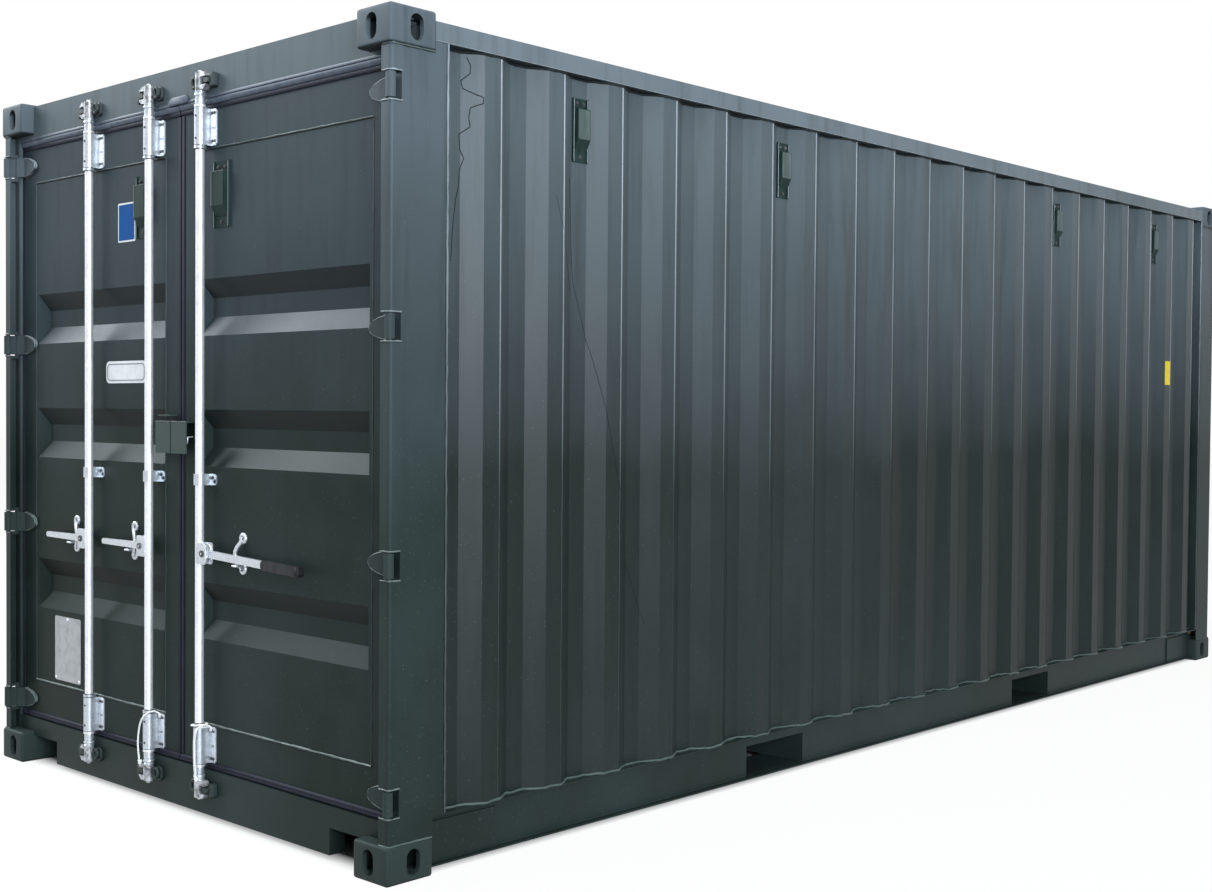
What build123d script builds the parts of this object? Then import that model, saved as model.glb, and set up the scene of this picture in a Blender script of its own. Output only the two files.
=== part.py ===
from build123d import *
from math import atan, degrees, pi, radians, tan
import os

# A 20 ft steel dry freight container, in millimetres.
# The doors face -Y, +X is on the right when facing them, +Z is up.
# The origin is on the ground under the middle of the container.

os.makedirs("parts", exist_ok=True)

# Overall size
LENGTH = 6058.0
WIDTH = 2438.0
HEIGHT = 2591.0

DOOR_END = -LENGTH / 2
FRONT_END = LENGTH / 2
SIDE = WIDTH / 2

# Corner fittings
FITTING_LENGTH = 178.0
FITTING_WIDTH = 162.0
FITTING_HEIGHT = 118.0
FITTING_ROUND = 12.0
FITTING_FACE_WALL = 28.0
FITTING_SIDE_WALL = 17.0
FITTING_INNER_WALL = 14.0
APERTURE_LENGTH = 124.5
APERTURE_WIDTH = 63.5
LASHING_HOLE_HEIGHT = 79.5
LASHING_HOLE_WIDTH = 51.0
HOLE_FROM_END = 101.5
HOLE_FROM_SIDE = 89.0

# How far the frame lies inside the faces of the corner fittings
POST_INSET = 5.0
POST_FRONT_INSET = 8.0
HEADER_INSET = 52.0
TOP_GAP = 8.0
BASE_CLEARANCE = 17.5

# Rear posts
POST_PLATE = 6.0
POST_BEND = 12.0
POST_FLANGE = 45.0
POST_DEPTH = 220.0
POST_CHANNEL_START = 50.0
POST_CHANNEL_DEPTH = 113.0
POST_CHANNEL_PLATE = 8.0
POST_CHANNEL_BEND = 10.0

# Front posts
FRONT_POST_FLANGE = 115.0
FRONT_POST_DEPTH = 182.0

# Door opening, between the posts, the sill and the header
POST_REACH = 49.0
OPENING_WIDTH = WIDTH - 2 * POST_REACH
SILL_TOP = 171.0
HEADER_DROP = 138.0
HEADER_BOTTOM = HEIGHT - HEADER_DROP
HEADER_DEPTH = 60.0
HEADER_PLATE = 6.0
ROOF_END_PLATE = 4.0
ROOF_END_BEND = 5.0
SILL_NOTCH_WIDTH = 184.0
SILL_NOTCH_TOP = 104.0

# Rails
TOP_RAIL_SIZE = 60.0
TOP_RAIL_WALL = 3.0
TOP_RAIL_DROP = 86.0
TOP_RAIL_LOW = HEIGHT - TOP_RAIL_DROP
BOTTOM_RAIL_HEIGHT = 162.0
BOTTOM_RAIL_TOP_FLANGE = 48.0
BOTTOM_RAIL_FOOT_FLANGE = 30.0
BOTTOM_RAIL_PLATE = 4.5
BOTTOM_RAIL_INSET = 8.0
RAIL_BEND = 8.0
RAIL_DOUBLER_LENGTH = 300.0
RAIL_DOUBLER_HEIGHT = 128.0
RAIL_DOUBLER_PLATE = 6.0

# Corrugated side walls
SHEET = 2.0
WALL_INSET = 10.0
WALL_DEPTH = 36.0
CREST = 72.0
SLOPE = 68.0
VALLEY = 71.3
FIRST_CREST = 379.5

# Corrugated front wall
FRONT_WALL_INSET = 10.0
FRONT_WALL_DEPTH = 45.6
FRONT_CREST = 110.0
FRONT_SLOPE = 18.0
FRONT_VALLEY = 104.0

# Roof with pressed ribs
ROOF_RIBS = 27
ROOF_RIB_WIDTH = 120.0
ROOF_RIB_CROWN = 92.0
ROOF_RIB_HEIGHT = 18.0
ROOF_MARGIN = 15.0
ROOF_RIB_END = 90.0

# Floor, cross members and fork pockets
FLOOR_THICKNESS = 28.0
CROSS_MEMBER_HEIGHT = 122.0
CROSS_MEMBER_FLANGE = 45.0
CROSS_MEMBER_PLATE = 4.0
CROSS_MEMBER_PITCH = 310.0
POCKET_WIDTH = 360.0
POCKET_HEIGHT = 115.0
POCKET_SPACING = 2050.0
POCKET_SHIFT = -50.0
POCKET_FLOOR = 22.0
POCKET_PLATE = 6.0
POCKET_STRAP_LENGTH = 200.0

# Door leaves
LEAF_FACE = 66.0
LEAF_DEPTH = 50.0
LEAF_CENTRE_GAP = 20.0
LEAF_EDGE_GAP = 8.0
LEAF_END_GAP = 12.0
LEAF_LOW = SILL_TOP + LEAF_END_GAP
LEAF_HIGH = HEADER_BOTTOM - LEAF_END_GAP
STILE_INNER = 84.0
STILE_OUTER = 100.0
LEAF_TOP_MEMBER = 155.0
LEAF_BOTTOM_MEMBER = 142.0
TROUGH_LOWEST = 712.0
TROUGH_DROP = 842.0
TROUGH_HIGHEST = HEIGHT - TROUGH_DROP
TROUGH_MIDDLE_RISE = 73.5
TROUGH_MIDDLE = (TROUGH_LOWEST + TROUGH_HIGHEST) / 2 + TROUGH_MIDDLE_RISE
TROUGH_OPENING = 205.0
TROUGH_BED = 69.0
TROUGH_DEPTH = 36.0
TROUGH_INNER_INSET = 2.0
TROUGH_OUTER_INSET = 12.0
TROUGH_END_SLOPE = 36.0

# Door gasket
GASKET_FACE = LEAF_FACE
GASKET_DEPTH = 30.0
GASKET_CENTRE_GAP = 4.0
GASKET_FRAME_GAP = 3.0

# Hinges
PIN_INSET = 16.0
PIN_RADIUS = 8.0
PIN_CLEARANCE = 0.3
HINGES = 4
LOWEST_HINGE_EDGE = 60.0
HIGHEST_HINGE_EDGE = 88.0
LOWEST_HINGE = LEAF_LOW + LOWEST_HINGE_EDGE
HIGHEST_HINGE = LEAF_HIGH - HIGHEST_HINGE_EDGE
WINDOW_HEIGHT = 83.0
WINDOW_DEPTH = 49.0
BARREL_RADIUS = 15.0
BARREL_HEIGHT = 74.0
BLADE_THICKNESS = 12.0
BLADE_END = 162.0
BLADE_ROOT = 76.0
CRANK_INNER = 44.0
CRANK_INNER_DEPTH = 38.0
CRANK_OUTER = 54.0
CRANK_OUTER_DEPTH = 40.0
BLADE_TIP_HEIGHT = 44.0
LUG_THICKNESS = 12.0
LUG_WIDTH = 24.0

# Lock rods
ROD_RADIUS = 15.0
ROD_DEPTH = 30.0
LEFT_OUTER_ROD = -582.0
LEFT_INNER_ROD = -158.0
RIGHT_ROD = 170.0
CAM_HEIGHT = 60.0
TOP_CAM_RISE = 53.0
BOTTOM_CAM_DROP = 61.0
TOP_CAM = HEADER_BOTTOM + TOP_CAM_RISE
BOTTOM_CAM = SILL_TOP - BOTTOM_CAM_DROP
CAM_HUB_RADIUS = 17.0
CAM_REACH = 48.0
CAM_WIDTH = 24.0
CAM_SLOT = 28.0
CAM_CORNER = 14.0
COLLAR_RADIUS = 20.0
COLLAR_HEIGHT = 8.0
COLLAR_GAP = 2.0

# Cam keepers
KEEPER_START = 56.0
KEEPER_END = 80.0
KEEPER_TONGUE_START = 30.0
KEEPER_TONGUE = 18.0
KEEPER_CORNER = 7.0
KEEPER_DEPTH = 24.0
TONGUE_DEPTH = 30.0

# Rod bearing brackets
BEARING_RADIUS = 20.0
BEARING_CORNER = 7.0
BEARING_CLEARANCE = 0.4
BEARING_PLATE_WIDTH = 100.0
BEARING_PLATE = 4.0
END_BEARING_HEIGHT = 125.0
END_BEARING_EDGE = 12.0
TOP_BEARING_EDGE = 23.0
MIDDLE_BEARING_HEIGHT = 38.0
MIDDLE_BEARING_RISE = 230.0

# Handles
HANDLE_HEIGHT = 914.0
HUB_WIDTH = 54.0
HUB_HEIGHT = 62.0
HUB_CHEEK = 5.0
HUB_WEB = 12.0
HUB_CORNER = 9.0
HANDLE_PIVOT = 38.0
HANDLE_PIN_RADIUS = 5.0
HANDLE_CLEARANCE = 0.3
BAR_THICKNESS = 10.0
BAR_HEIGHT = 26.0
BAR_TIP_HEIGHT = 20.0
CHEEK_GAP = 0.5
SHORT_HANDLE = 322.0
GRIP_START = 372.0
LONG_HANDLE = 583.0
GRIP_HEIGHT = 32.0
GRIP_THICKNESS = 20.0
GRIP_END = 6.0
HANDLE_DROOP = 2.4

# Handle catches, measured from the rod
CATCH_SHORT = 150.0
CATCH_LONG = 212.0
CATCH_WIDTH = 28.0
CATCH_DROP = 56.0
CATCH_RISE = 74.0
CATCH_LOW = HANDLE_HEIGHT - CATCH_DROP
CATCH_HIGH = HANDLE_HEIGHT + CATCH_RISE
CATCH_PLATE = 5.0
CATCH_LEDGE = 8.0
CATCH_ARM_DEPTH = 20.0
CATCH_ARM_RADIUS = 8.0
CATCH_ARM_REACH = 30.0
CATCH_ARM_DROP = 52.0
CATCH_CLEARANCE = 6.0

# Lock box, half on each leaf
LOCK_BOX_FACE = 20.0
LOCK_BOX_REACH = 97.0
LOCK_BOX_LOW = 1248.0
LOCK_BOX_HEIGHT = 111.0
LOCK_BOX_HIGH = LOCK_BOX_LOW + LOCK_BOX_HEIGHT
LOCK_BOX_PLATE = 5.0
LOCK_HOOD_GAP = 18.0
LOCK_HOOD_SETBACK = 10.0

# Ventilators
DOOR_VENT_WIDTH = 92.0
DOOR_VENT_BODY = 70.0
SIDE_VENT_WIDTH = 70.0
SIDE_VENT_BODY = 60.0
DOOR_VENT_HEIGHT = 222.0
SIDE_VENT_HEIGHT = 210.0
VENT_FLANGE = 3.0
VENT_BODY_DEPTH = 20.0
VENT_BODY_DROP = 36.0
VENT_RIM = 6.0
VENT_RIM_HEIGHT = 5.0
DOOR_VENT_DROP = 355.0
DOOR_VENT_TOP = HEIGHT - DOOR_VENT_DROP
DOOR_VENT_CENTRE = 251.0
SIDE_VENT_DROP = 153.0
SIDE_VENT_TOP = HEIGHT - SIDE_VENT_DROP
SIDE_VENT_VALLEYS = 2
SIDE_VENT_SKIP = 4

# Tie-back ropes: places across from the rod, inwards from the door end, and up
ROPE_RADIUS = 3.0
ROPE_INWARD = (59.6, 40.0, 5.0, 3.5, 5.0, 4.0, 6.0)
ROPE_UP = (314.0, 335.0, 322.0, 288.0, 240.0, 194.0, 150.0)
LEFT_ROPE_ACROSS = (30.0, 28.0, 15.0, -14.0, -29.0, -30.0, -22.0)
RIGHT_ROPE_ACROSS = (30.0, 30.0, 24.0, 13.0, 11.0, 14.0, 17.0)

# Places worked out from the sizes above
POST_INNER = OPENING_WIDTH / 2
RAIL_TOP = BASE_CLEARANCE + BOTTOM_RAIL_HEIGHT
RAIL_WEB = SIDE - BOTTOM_RAIL_INSET - BOTTOM_RAIL_TOP_FLANGE
FITTING_INNER = SIDE - FITTING_WIDTH
HEADER_TOP = HEIGHT - TOP_GAP
LEAF_OUTER = POST_INNER - LEAF_EDGE_GAP
PITCH = CREST + VALLEY + 2 * SLOPE
PIN_X = SIDE - PIN_INSET
PIN_Y = DOOR_END + PIN_INSET
ROD_Y = DOOR_END + ROD_DEPTH
LEAF_Y = DOOR_END + LEAF_FACE
TOP_RAIL_TOP = TOP_RAIL_LOW + TOP_RAIL_SIZE
WALL_START = DOOR_END + POST_FRONT_INSET + POST_DEPTH
WALL_END = FRONT_END - POST_FRONT_INSET - FRONT_POST_DEPTH
CRESTS = int((WALL_END - DOOR_END - FIRST_CREST - CREST - SLOPE) / PITCH) + 1
HINGE_STEP = (HIGHEST_HINGE - LOWEST_HINGE) / (HINGES - 1)
HINGE_HEIGHTS = [LOWEST_HINGE + n * HINGE_STEP for n in range(HINGES)]
END_BEARINGS = (LEAF_LOW + END_BEARING_EDGE, LEAF_HIGH - TOP_BEARING_EDGE - END_BEARING_HEIGHT)
MIDDLE_BEARING = HANDLE_HEIGHT + MIDDLE_BEARING_RISE


def save(piece, label):
    """Label a finished piece and write its STEP file."""
    piece.part.label = label
    export_step(piece.part, f"parts/{label}.step")


def corner_fittings(label, face_z, inward):
    """Four hollow castings with a twistlock aperture and two lashing holes each."""
    middle_z = face_z + inward * FITTING_HEIGHT / 2
    hole_x = SIDE - HOLE_FROM_SIDE
    hole_y = DOOR_END + HOLE_FROM_END
    with BuildPart() as castings:
        with Locations((SIDE - FITTING_WIDTH / 2, DOOR_END + FITTING_LENGTH / 2, middle_z)):
            Box(FITTING_WIDTH, FITTING_LENGTH, FITTING_HEIGHT)
        upright = castings.edges().filter_by(Axis.Z).sort_by_distance((SIDE, DOOR_END, middle_z))
        fillet(upright[0], FITTING_ROUND)
        cavity_x = (FITTING_INNER_WALL - FITTING_SIDE_WALL) / 2
        cavity_height = FITTING_HEIGHT - FITTING_FACE_WALL - FITTING_INNER_WALL
        cavity_z = face_z + inward * (FITTING_FACE_WALL + cavity_height / 2)
        with Locations(
            (
                SIDE - FITTING_WIDTH / 2 + cavity_x,
                DOOR_END + FITTING_LENGTH / 2 - cavity_x,
                cavity_z,
            )
        ):
            Box(
                FITTING_WIDTH - FITTING_SIDE_WALL - FITTING_INNER_WALL,
                FITTING_LENGTH - FITTING_SIDE_WALL - FITTING_INNER_WALL,
                cavity_height,
                mode=Mode.SUBTRACT,
            )
        with BuildSketch(Plane.XY.offset(face_z)):
            with Locations((hole_x, hole_y)):
                SlotOverall(APERTURE_LENGTH, APERTURE_WIDTH, rotation=90)
        extrude(amount=FITTING_FACE_WALL + 1, both=True, mode=Mode.SUBTRACT)
        with BuildSketch(Plane.XZ.offset(-DOOR_END)):
            with Locations((hole_x, middle_z)):
                SlotOverall(LASHING_HOLE_HEIGHT, LASHING_HOLE_WIDTH, rotation=90)
        extrude(amount=FITTING_SIDE_WALL + 1, both=True, mode=Mode.SUBTRACT)
        with BuildSketch(Plane.YZ.offset(SIDE)):
            with Locations((hole_y, middle_z)):
                SlotOverall(LASHING_HOLE_HEIGHT, LASHING_HOLE_WIDTH, rotation=90)
        extrude(amount=FITTING_SIDE_WALL + 1, both=True, mode=Mode.SUBTRACT)
        mirror(about=Plane.YZ)
        mirror(about=Plane.XZ)
    save(castings, label)


def bent_plate(points, thickness, bend, side=Side.LEFT):
    """The section of a plate bent along the points and thickened to one side of them."""
    with BuildSketch() as section:
        with BuildLine():
            FilletPolyline(*points, radius=bend)
            offset(amount=thickness, side=side)
        make_face()
    return section.sketch


def door_posts():
    """Rear corner posts: a bent outer plate with hinge windows and an inner channel."""
    outer = SIDE - POST_INSET
    front = DOOR_END + POST_FRONT_INSET
    back = front + POST_DEPTH
    channel_front = DOOR_END + POST_CHANNEL_START
    channel_back = channel_front + POST_CHANNEL_DEPTH
    channel_outer = outer - POST_PLATE
    fitting_back = DOOR_END + FITTING_LENGTH
    foot = FITTING_HEIGHT
    head = HEIGHT - FITTING_HEIGHT
    with BuildPart() as posts:
        with BuildSketch(Plane.XY.offset(foot)):
            flange = outer - POST_FLANGE
            add(
                bent_plate(
                    ((flange, front), (outer, front), (outer, back), (flange, back)),
                    POST_PLATE,
                    POST_BEND,
                )
            )
        extrude(amount=TOP_RAIL_LOW - foot)
        with BuildSketch(Plane.YZ):
            with BuildLine():
                Polyline((front - 1, head), (fitting_back, head), (fitting_back, TOP_RAIL_LOW + 1),
                         (front - 1, TOP_RAIL_LOW + 1), close=True)
            make_face()
            with BuildLine():
                Polyline((fitting_back, foot - 1), (back + 1, foot - 1), (back + 1, RAIL_TOP),
                         (fitting_back, RAIL_TOP), close=True)
            make_face()
        extrude(amount=SIDE, mode=Mode.SUBTRACT)
        window_x = SIDE - WINDOW_DEPTH / 2
        window_y = DOOR_END + WINDOW_DEPTH / 2
        with Locations(*[(window_x - 1, window_y, z) for z in HINGE_HEIGHTS]):
            Box(WINDOW_DEPTH + 2, WINDOW_DEPTH, WINDOW_HEIGHT, mode=Mode.SUBTRACT)
        with BuildSketch(Plane.XY.offset(foot)):
            add(
                bent_plate(
                    (
                        (channel_outer, channel_back),
                        (POST_INNER, channel_back),
                        (POST_INNER, channel_front),
                        (channel_outer, channel_front),
                    ),
                    POST_CHANNEL_PLATE,
                    POST_CHANNEL_BEND,
                )
            )
        extrude(amount=head - foot)
        mirror(about=Plane.YZ)
    save(posts, "door_posts")


def hinge_pins():
    """A pin between two lugs in each hinge window of the rear posts."""
    lug_front = DOOR_END + POST_FRONT_INSET + POST_BEND
    lug_back = DOOR_END + POST_CHANNEL_START
    lug_x = SIDE - POST_INSET - POST_PLATE - LUG_WIDTH / 2
    with BuildPart() as pins:
        for z in HINGE_HEIGHTS:
            for side in (-1, 1):
                lug_z = z + side * (WINDOW_HEIGHT + LUG_THICKNESS) / 2
                with Locations((lug_x, (lug_front + lug_back) / 2, lug_z)):
                    Box(LUG_WIDTH, lug_back - lug_front, LUG_THICKNESS)
            with Locations((PIN_X, PIN_Y, z)):
                Cylinder(PIN_RADIUS, WINDOW_HEIGHT)
        mirror(about=Plane.YZ)
    save(pins, "hinge_pins")


def front_posts():
    """Front corner posts, each pressed from one plate."""
    outer = SIDE - POST_INSET
    front = FRONT_END - POST_FRONT_INSET
    back = front - FRONT_POST_DEPTH
    fitting_back = FRONT_END - FITTING_LENGTH
    foot = FITTING_HEIGHT
    head = HEIGHT - FITTING_HEIGHT
    with BuildPart() as posts:
        with BuildSketch(Plane.XY.offset(foot)):
            add(
                bent_plate(
                    (
                        (outer - POST_FLANGE, back),
                        (outer, back),
                        (outer, front),
                        (outer - FRONT_POST_FLANGE, front),
                    ),
                    POST_PLATE,
                    POST_BEND,
                )
            )
        extrude(amount=TOP_RAIL_LOW - foot)
        with BuildSketch(Plane.YZ):
            with BuildLine():
                Polyline((front + 1, head), (fitting_back, head), (fitting_back, TOP_RAIL_LOW + 1),
                         (front + 1, TOP_RAIL_LOW + 1), close=True)
            make_face()
            with BuildLine():
                Polyline((fitting_back, foot - 1), (back - 1, foot - 1), (back - 1, RAIL_TOP),
                         (fitting_back, RAIL_TOP), close=True)
            make_face()
        extrude(amount=SIDE, mode=Mode.SUBTRACT)
        mirror(about=Plane.YZ)
    save(posts, "front_posts")


def door_header():
    """The beam over the doors, with the plate that closes the roof behind it."""
    front = DOOR_END + HEADER_INSET
    back = DOOR_END + FITTING_LENGTH
    under_fitting = HEIGHT - FITTING_HEIGHT
    with BuildPart() as header:
        with BuildSketch(Plane.XZ.offset(-front)):
            with BuildLine():
                Polyline(
                    (0, HEADER_BOTTOM),
                    (POST_INNER, HEADER_BOTTOM),
                    (POST_INNER, under_fitting),
                    (FITTING_INNER, under_fitting),
                    (FITTING_INNER, HEADER_TOP),
                    (0, HEADER_TOP),
                    close=True,
                )
            make_face()
        extrude(amount=-HEADER_DEPTH)
        with Locations((0, front + HEADER_PLATE, HEADER_BOTTOM + HEADER_PLATE)):
            Box(
                FITTING_INNER - HEADER_PLATE,
                HEADER_DEPTH,
                HEADER_TOP - HEADER_BOTTOM - 2 * HEADER_PLATE,
                align=(Align.MIN, Align.MIN, Align.MIN),
                mode=Mode.SUBTRACT,
            )
        with BuildSketch(Plane.YZ):
            add(
                bent_plate(
                    ((front + HEADER_DEPTH, HEADER_TOP), (back, HEADER_TOP), (back, TOP_RAIL_TOP)),
                    ROOF_END_PLATE,
                    ROOF_END_BEND,
                    Side.RIGHT,
                )
            )
        extrude(amount=FITTING_INNER)
        mirror(about=Plane.YZ)
    save(header, "door_header")


def door_sill():
    """The sill under the doors, notched beside both corner fittings."""
    front = DOOR_END + HEADER_INSET
    notch = FITTING_INNER - SILL_NOTCH_WIDTH
    with BuildPart() as sill:
        with BuildSketch(Plane.XZ.offset(-front)):
            with BuildLine():
                Polyline(
                    (0, BASE_CLEARANCE),
                    (notch, BASE_CLEARANCE),
                    (notch, SILL_NOTCH_TOP),
                    (FITTING_INNER, SILL_NOTCH_TOP),
                    (FITTING_INNER, FITTING_HEIGHT),
                    (POST_INNER, FITTING_HEIGHT),
                    (POST_INNER, SILL_TOP),
                    (0, SILL_TOP),
                    close=True,
                )
            make_face()
        extrude(amount=-HEADER_DEPTH)
        with Locations((0, front + HEADER_PLATE, BASE_CLEARANCE + HEADER_PLATE)):
            Box(
                notch - HEADER_PLATE,
                HEADER_DEPTH,
                SILL_TOP - BASE_CLEARANCE - 2 * HEADER_PLATE,
                align=(Align.MIN, Align.MIN, Align.MIN),
                mode=Mode.SUBTRACT,
            )
        mirror(about=Plane.YZ)
    save(sill, "door_sill")


def front_top_rail():
    """Square tube over the front wall, with the plate that closes the roof behind it."""
    front = FRONT_END - POST_INSET
    back = FRONT_END - FITTING_LENGTH
    with BuildPart() as rail:
        with BuildSketch(Plane.YZ.offset(-FITTING_INNER)):
            with Locations((front - TOP_RAIL_SIZE / 2, TOP_RAIL_LOW + TOP_RAIL_SIZE / 2)):
                Rectangle(TOP_RAIL_SIZE, TOP_RAIL_SIZE)
                Rectangle(
                    TOP_RAIL_SIZE - 2 * TOP_RAIL_WALL,
                    TOP_RAIL_SIZE - 2 * TOP_RAIL_WALL,
                    mode=Mode.SUBTRACT,
                )
        extrude(amount=2 * FITTING_INNER)
        with BuildSketch(Plane.YZ.offset(-FITTING_INNER)):
            add(
                bent_plate(
                    ((back, TOP_RAIL_TOP), (back, HEADER_TOP), (front, HEADER_TOP), (front, TOP_RAIL_TOP)),
                    ROOF_END_PLATE,
                    ROOF_END_BEND,
                    Side.RIGHT,
                )
            )
        extrude(amount=2 * FITTING_INNER)
    save(rail, "front_top_rail")


def front_bottom_rail():
    """Channel under the front wall, open to the inside."""
    front = FRONT_END - POST_INSET
    with BuildPart() as rail:
        with BuildSketch(Plane.YZ.offset(-FITTING_INNER)):
            add(
                bent_plate(
                    (
                        (front - HEADER_DEPTH, BASE_CLEARANCE),
                        (front, BASE_CLEARANCE),
                        (front, SILL_TOP),
                        (front - HEADER_DEPTH, SILL_TOP),
                    ),
                    POST_PLATE,
                    RAIL_BEND,
                )
            )
        extrude(amount=2 * FITTING_INNER)
    save(rail, "front_bottom_rail")


def top_side_rails():
    """Square tubes along the top of both side walls."""
    middle = SIDE - POST_INSET - TOP_RAIL_SIZE / 2
    run = LENGTH - 2 * FITTING_LENGTH
    with BuildPart() as rails:
        with BuildSketch(Plane.XZ.offset(-run / 2)):
            with Locations((middle, TOP_RAIL_LOW + TOP_RAIL_SIZE / 2)):
                Rectangle(TOP_RAIL_SIZE, TOP_RAIL_SIZE)
                Rectangle(
                    TOP_RAIL_SIZE - 2 * TOP_RAIL_WALL,
                    TOP_RAIL_SIZE - 2 * TOP_RAIL_WALL,
                    mode=Mode.SUBTRACT,
                )
        extrude(amount=run)
        mirror(about=Plane.YZ)
    save(rails, "top_side_rails")


def pocket_centres():
    """Distance of each fork pocket along the container."""
    return [POCKET_SHIFT + side * POCKET_SPACING / 2 for side in (-1, 1)]


def bottom_side_rails():
    """Channels open to the outside, cut for the fork pockets, with end doublers."""
    outer = SIDE - BOTTOM_RAIL_INSET
    run = LENGTH - 2 * FITTING_LENGTH
    doubler_x = RAIL_WEB + BOTTOM_RAIL_PLATE + RAIL_DOUBLER_PLATE / 2
    doubler_y = run / 2 - RAIL_DOUBLER_LENGTH / 2
    doubler_z = BASE_CLEARANCE + BOTTOM_RAIL_PLATE + RAIL_DOUBLER_HEIGHT / 2
    with BuildPart() as rails:
        with BuildSketch(Plane.XZ.offset(-run / 2)):
            add(
                bent_plate(
                    (
                        (outer, RAIL_TOP),
                        (RAIL_WEB, RAIL_TOP),
                        (RAIL_WEB, BASE_CLEARANCE),
                        (RAIL_WEB + BOTTOM_RAIL_FOOT_FLANGE, BASE_CLEARANCE),
                    ),
                    BOTTOM_RAIL_PLATE,
                    RAIL_BEND,
                )
            )
        extrude(amount=run)
        with Locations((doubler_x, doubler_y, doubler_z), (doubler_x, -doubler_y, doubler_z)):
            Box(RAIL_DOUBLER_PLATE, RAIL_DOUBLER_LENGTH, RAIL_DOUBLER_HEIGHT)
        with Locations(*[(RAIL_WEB, y, POCKET_FLOOR + POCKET_HEIGHT / 2) for y in pocket_centres()]):
            Box(4 * BOTTOM_RAIL_PLATE, POCKET_WIDTH, POCKET_HEIGHT, mode=Mode.SUBTRACT)
        mirror(about=Plane.YZ)
    save(rails, "bottom_side_rails")


def side_wall(label, hand):
    """One side wall: vertical corrugations between the posts and the rails."""
    crest_x = hand * (SIDE - WALL_INSET)
    valley_x = hand * (SIDE - WALL_INSET - WALL_DEPTH)
    points = [(valley_x, WALL_START)]
    for n in range(CRESTS):
        crest = DOOR_END + FIRST_CREST + n * PITCH
        points += [
            (valley_x, crest - SLOPE),
            (crest_x, crest),
            (crest_x, crest + CREST),
            (valley_x, crest + CREST + SLOPE),
        ]
    points.append((valley_x, WALL_END))
    with BuildPart() as wall:
        with BuildSketch(Plane.XY.offset(RAIL_TOP)):
            with BuildLine():
                Polyline(*points)
                offset(amount=SHEET, side=Side.LEFT if hand > 0 else Side.RIGHT, kind=Kind.INTERSECTION)
            make_face()
        extrude(amount=TOP_RAIL_LOW - RAIL_TOP)
    save(wall, label)


def front_wall():
    """The corrugated front wall between the front posts."""
    crest_y = FRONT_END - FRONT_WALL_INSET
    valley_y = crest_y - FRONT_WALL_DEPTH
    edge = SIDE - POST_INSET - FRONT_POST_FLANGE
    pitch = FRONT_CREST + FRONT_VALLEY + 2 * FRONT_SLOPE
    crests = int((2 * edge - FRONT_CREST - 2 * FRONT_SLOPE) / pitch) + 1
    first = -((crests - 1) * pitch + FRONT_CREST) / 2
    points = [(-edge, valley_y)]
    for n in range(crests):
        crest = first + n * pitch
        points += [
            (crest - FRONT_SLOPE, valley_y),
            (crest, crest_y),
            (crest + FRONT_CREST, crest_y),
            (crest + FRONT_CREST + FRONT_SLOPE, valley_y),
        ]
    points.append((edge, valley_y))
    with BuildPart() as wall:
        with BuildSketch(Plane.XY.offset(SILL_TOP)):
            with BuildLine():
                Polyline(*points)
                offset(amount=SHEET, side=Side.RIGHT, kind=Kind.INTERSECTION)
            make_face()
        extrude(amount=TOP_RAIL_LOW - SILL_TOP)
        notch = TOP_RAIL_LOW - (HEIGHT - FITTING_HEIGHT)
        with Locations((-edge, valley_y, TOP_RAIL_LOW), (edge, valley_y, TOP_RAIL_LOW)):
            Box(2 * (edge - FITTING_INNER), 2 * FITTING_LENGTH, 2 * notch, mode=Mode.SUBTRACT)
    save(wall, "front_wall")


def roof():
    """Flat roof sheet with raised ribs pressed across it."""
    run = LENGTH - 2 * FITTING_LENGTH
    width = 2 * (SIDE - POST_INSET - ROOF_MARGIN)
    rib_length = width - 2 * ROOF_RIB_END
    rib_slope = (ROOF_RIB_WIDTH - ROOF_RIB_CROWN) / 2
    rib_pitch = run / ROOF_RIBS
    low = TOP_RAIL_TOP
    with BuildPart() as sheet:
        with Locations((0, 0, low + SHEET / 2)):
            Box(width, run, SHEET)
        for mode, shrink, base in ((Mode.ADD, 0, low), (Mode.SUBTRACT, 2 * SHEET, low - SHEET)):
            with BuildSketch(Plane.XY.offset(base)):
                with GridLocations(0, rib_pitch, 1, ROOF_RIBS):
                    Rectangle(rib_length - shrink, ROOF_RIB_WIDTH - shrink)
            extrude(
                amount=ROOF_RIB_HEIGHT,
                taper=degrees(atan(rib_slope / ROOF_RIB_HEIGHT)),
                mode=mode,
            )
    save(sheet, "roof")


def floor():
    """Plywood floor between the rails."""
    front = DOOR_END + HEADER_INSET + HEADER_DEPTH
    back = FRONT_END - POST_INSET - HEADER_DEPTH
    with BuildPart() as boards:
        with Locations((0, (front + back) / 2, SILL_TOP - FLOOR_THICKNESS / 2)):
            Box(2 * RAIL_WEB, back - front, FLOOR_THICKNESS)
    save(boards, "floor")


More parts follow.
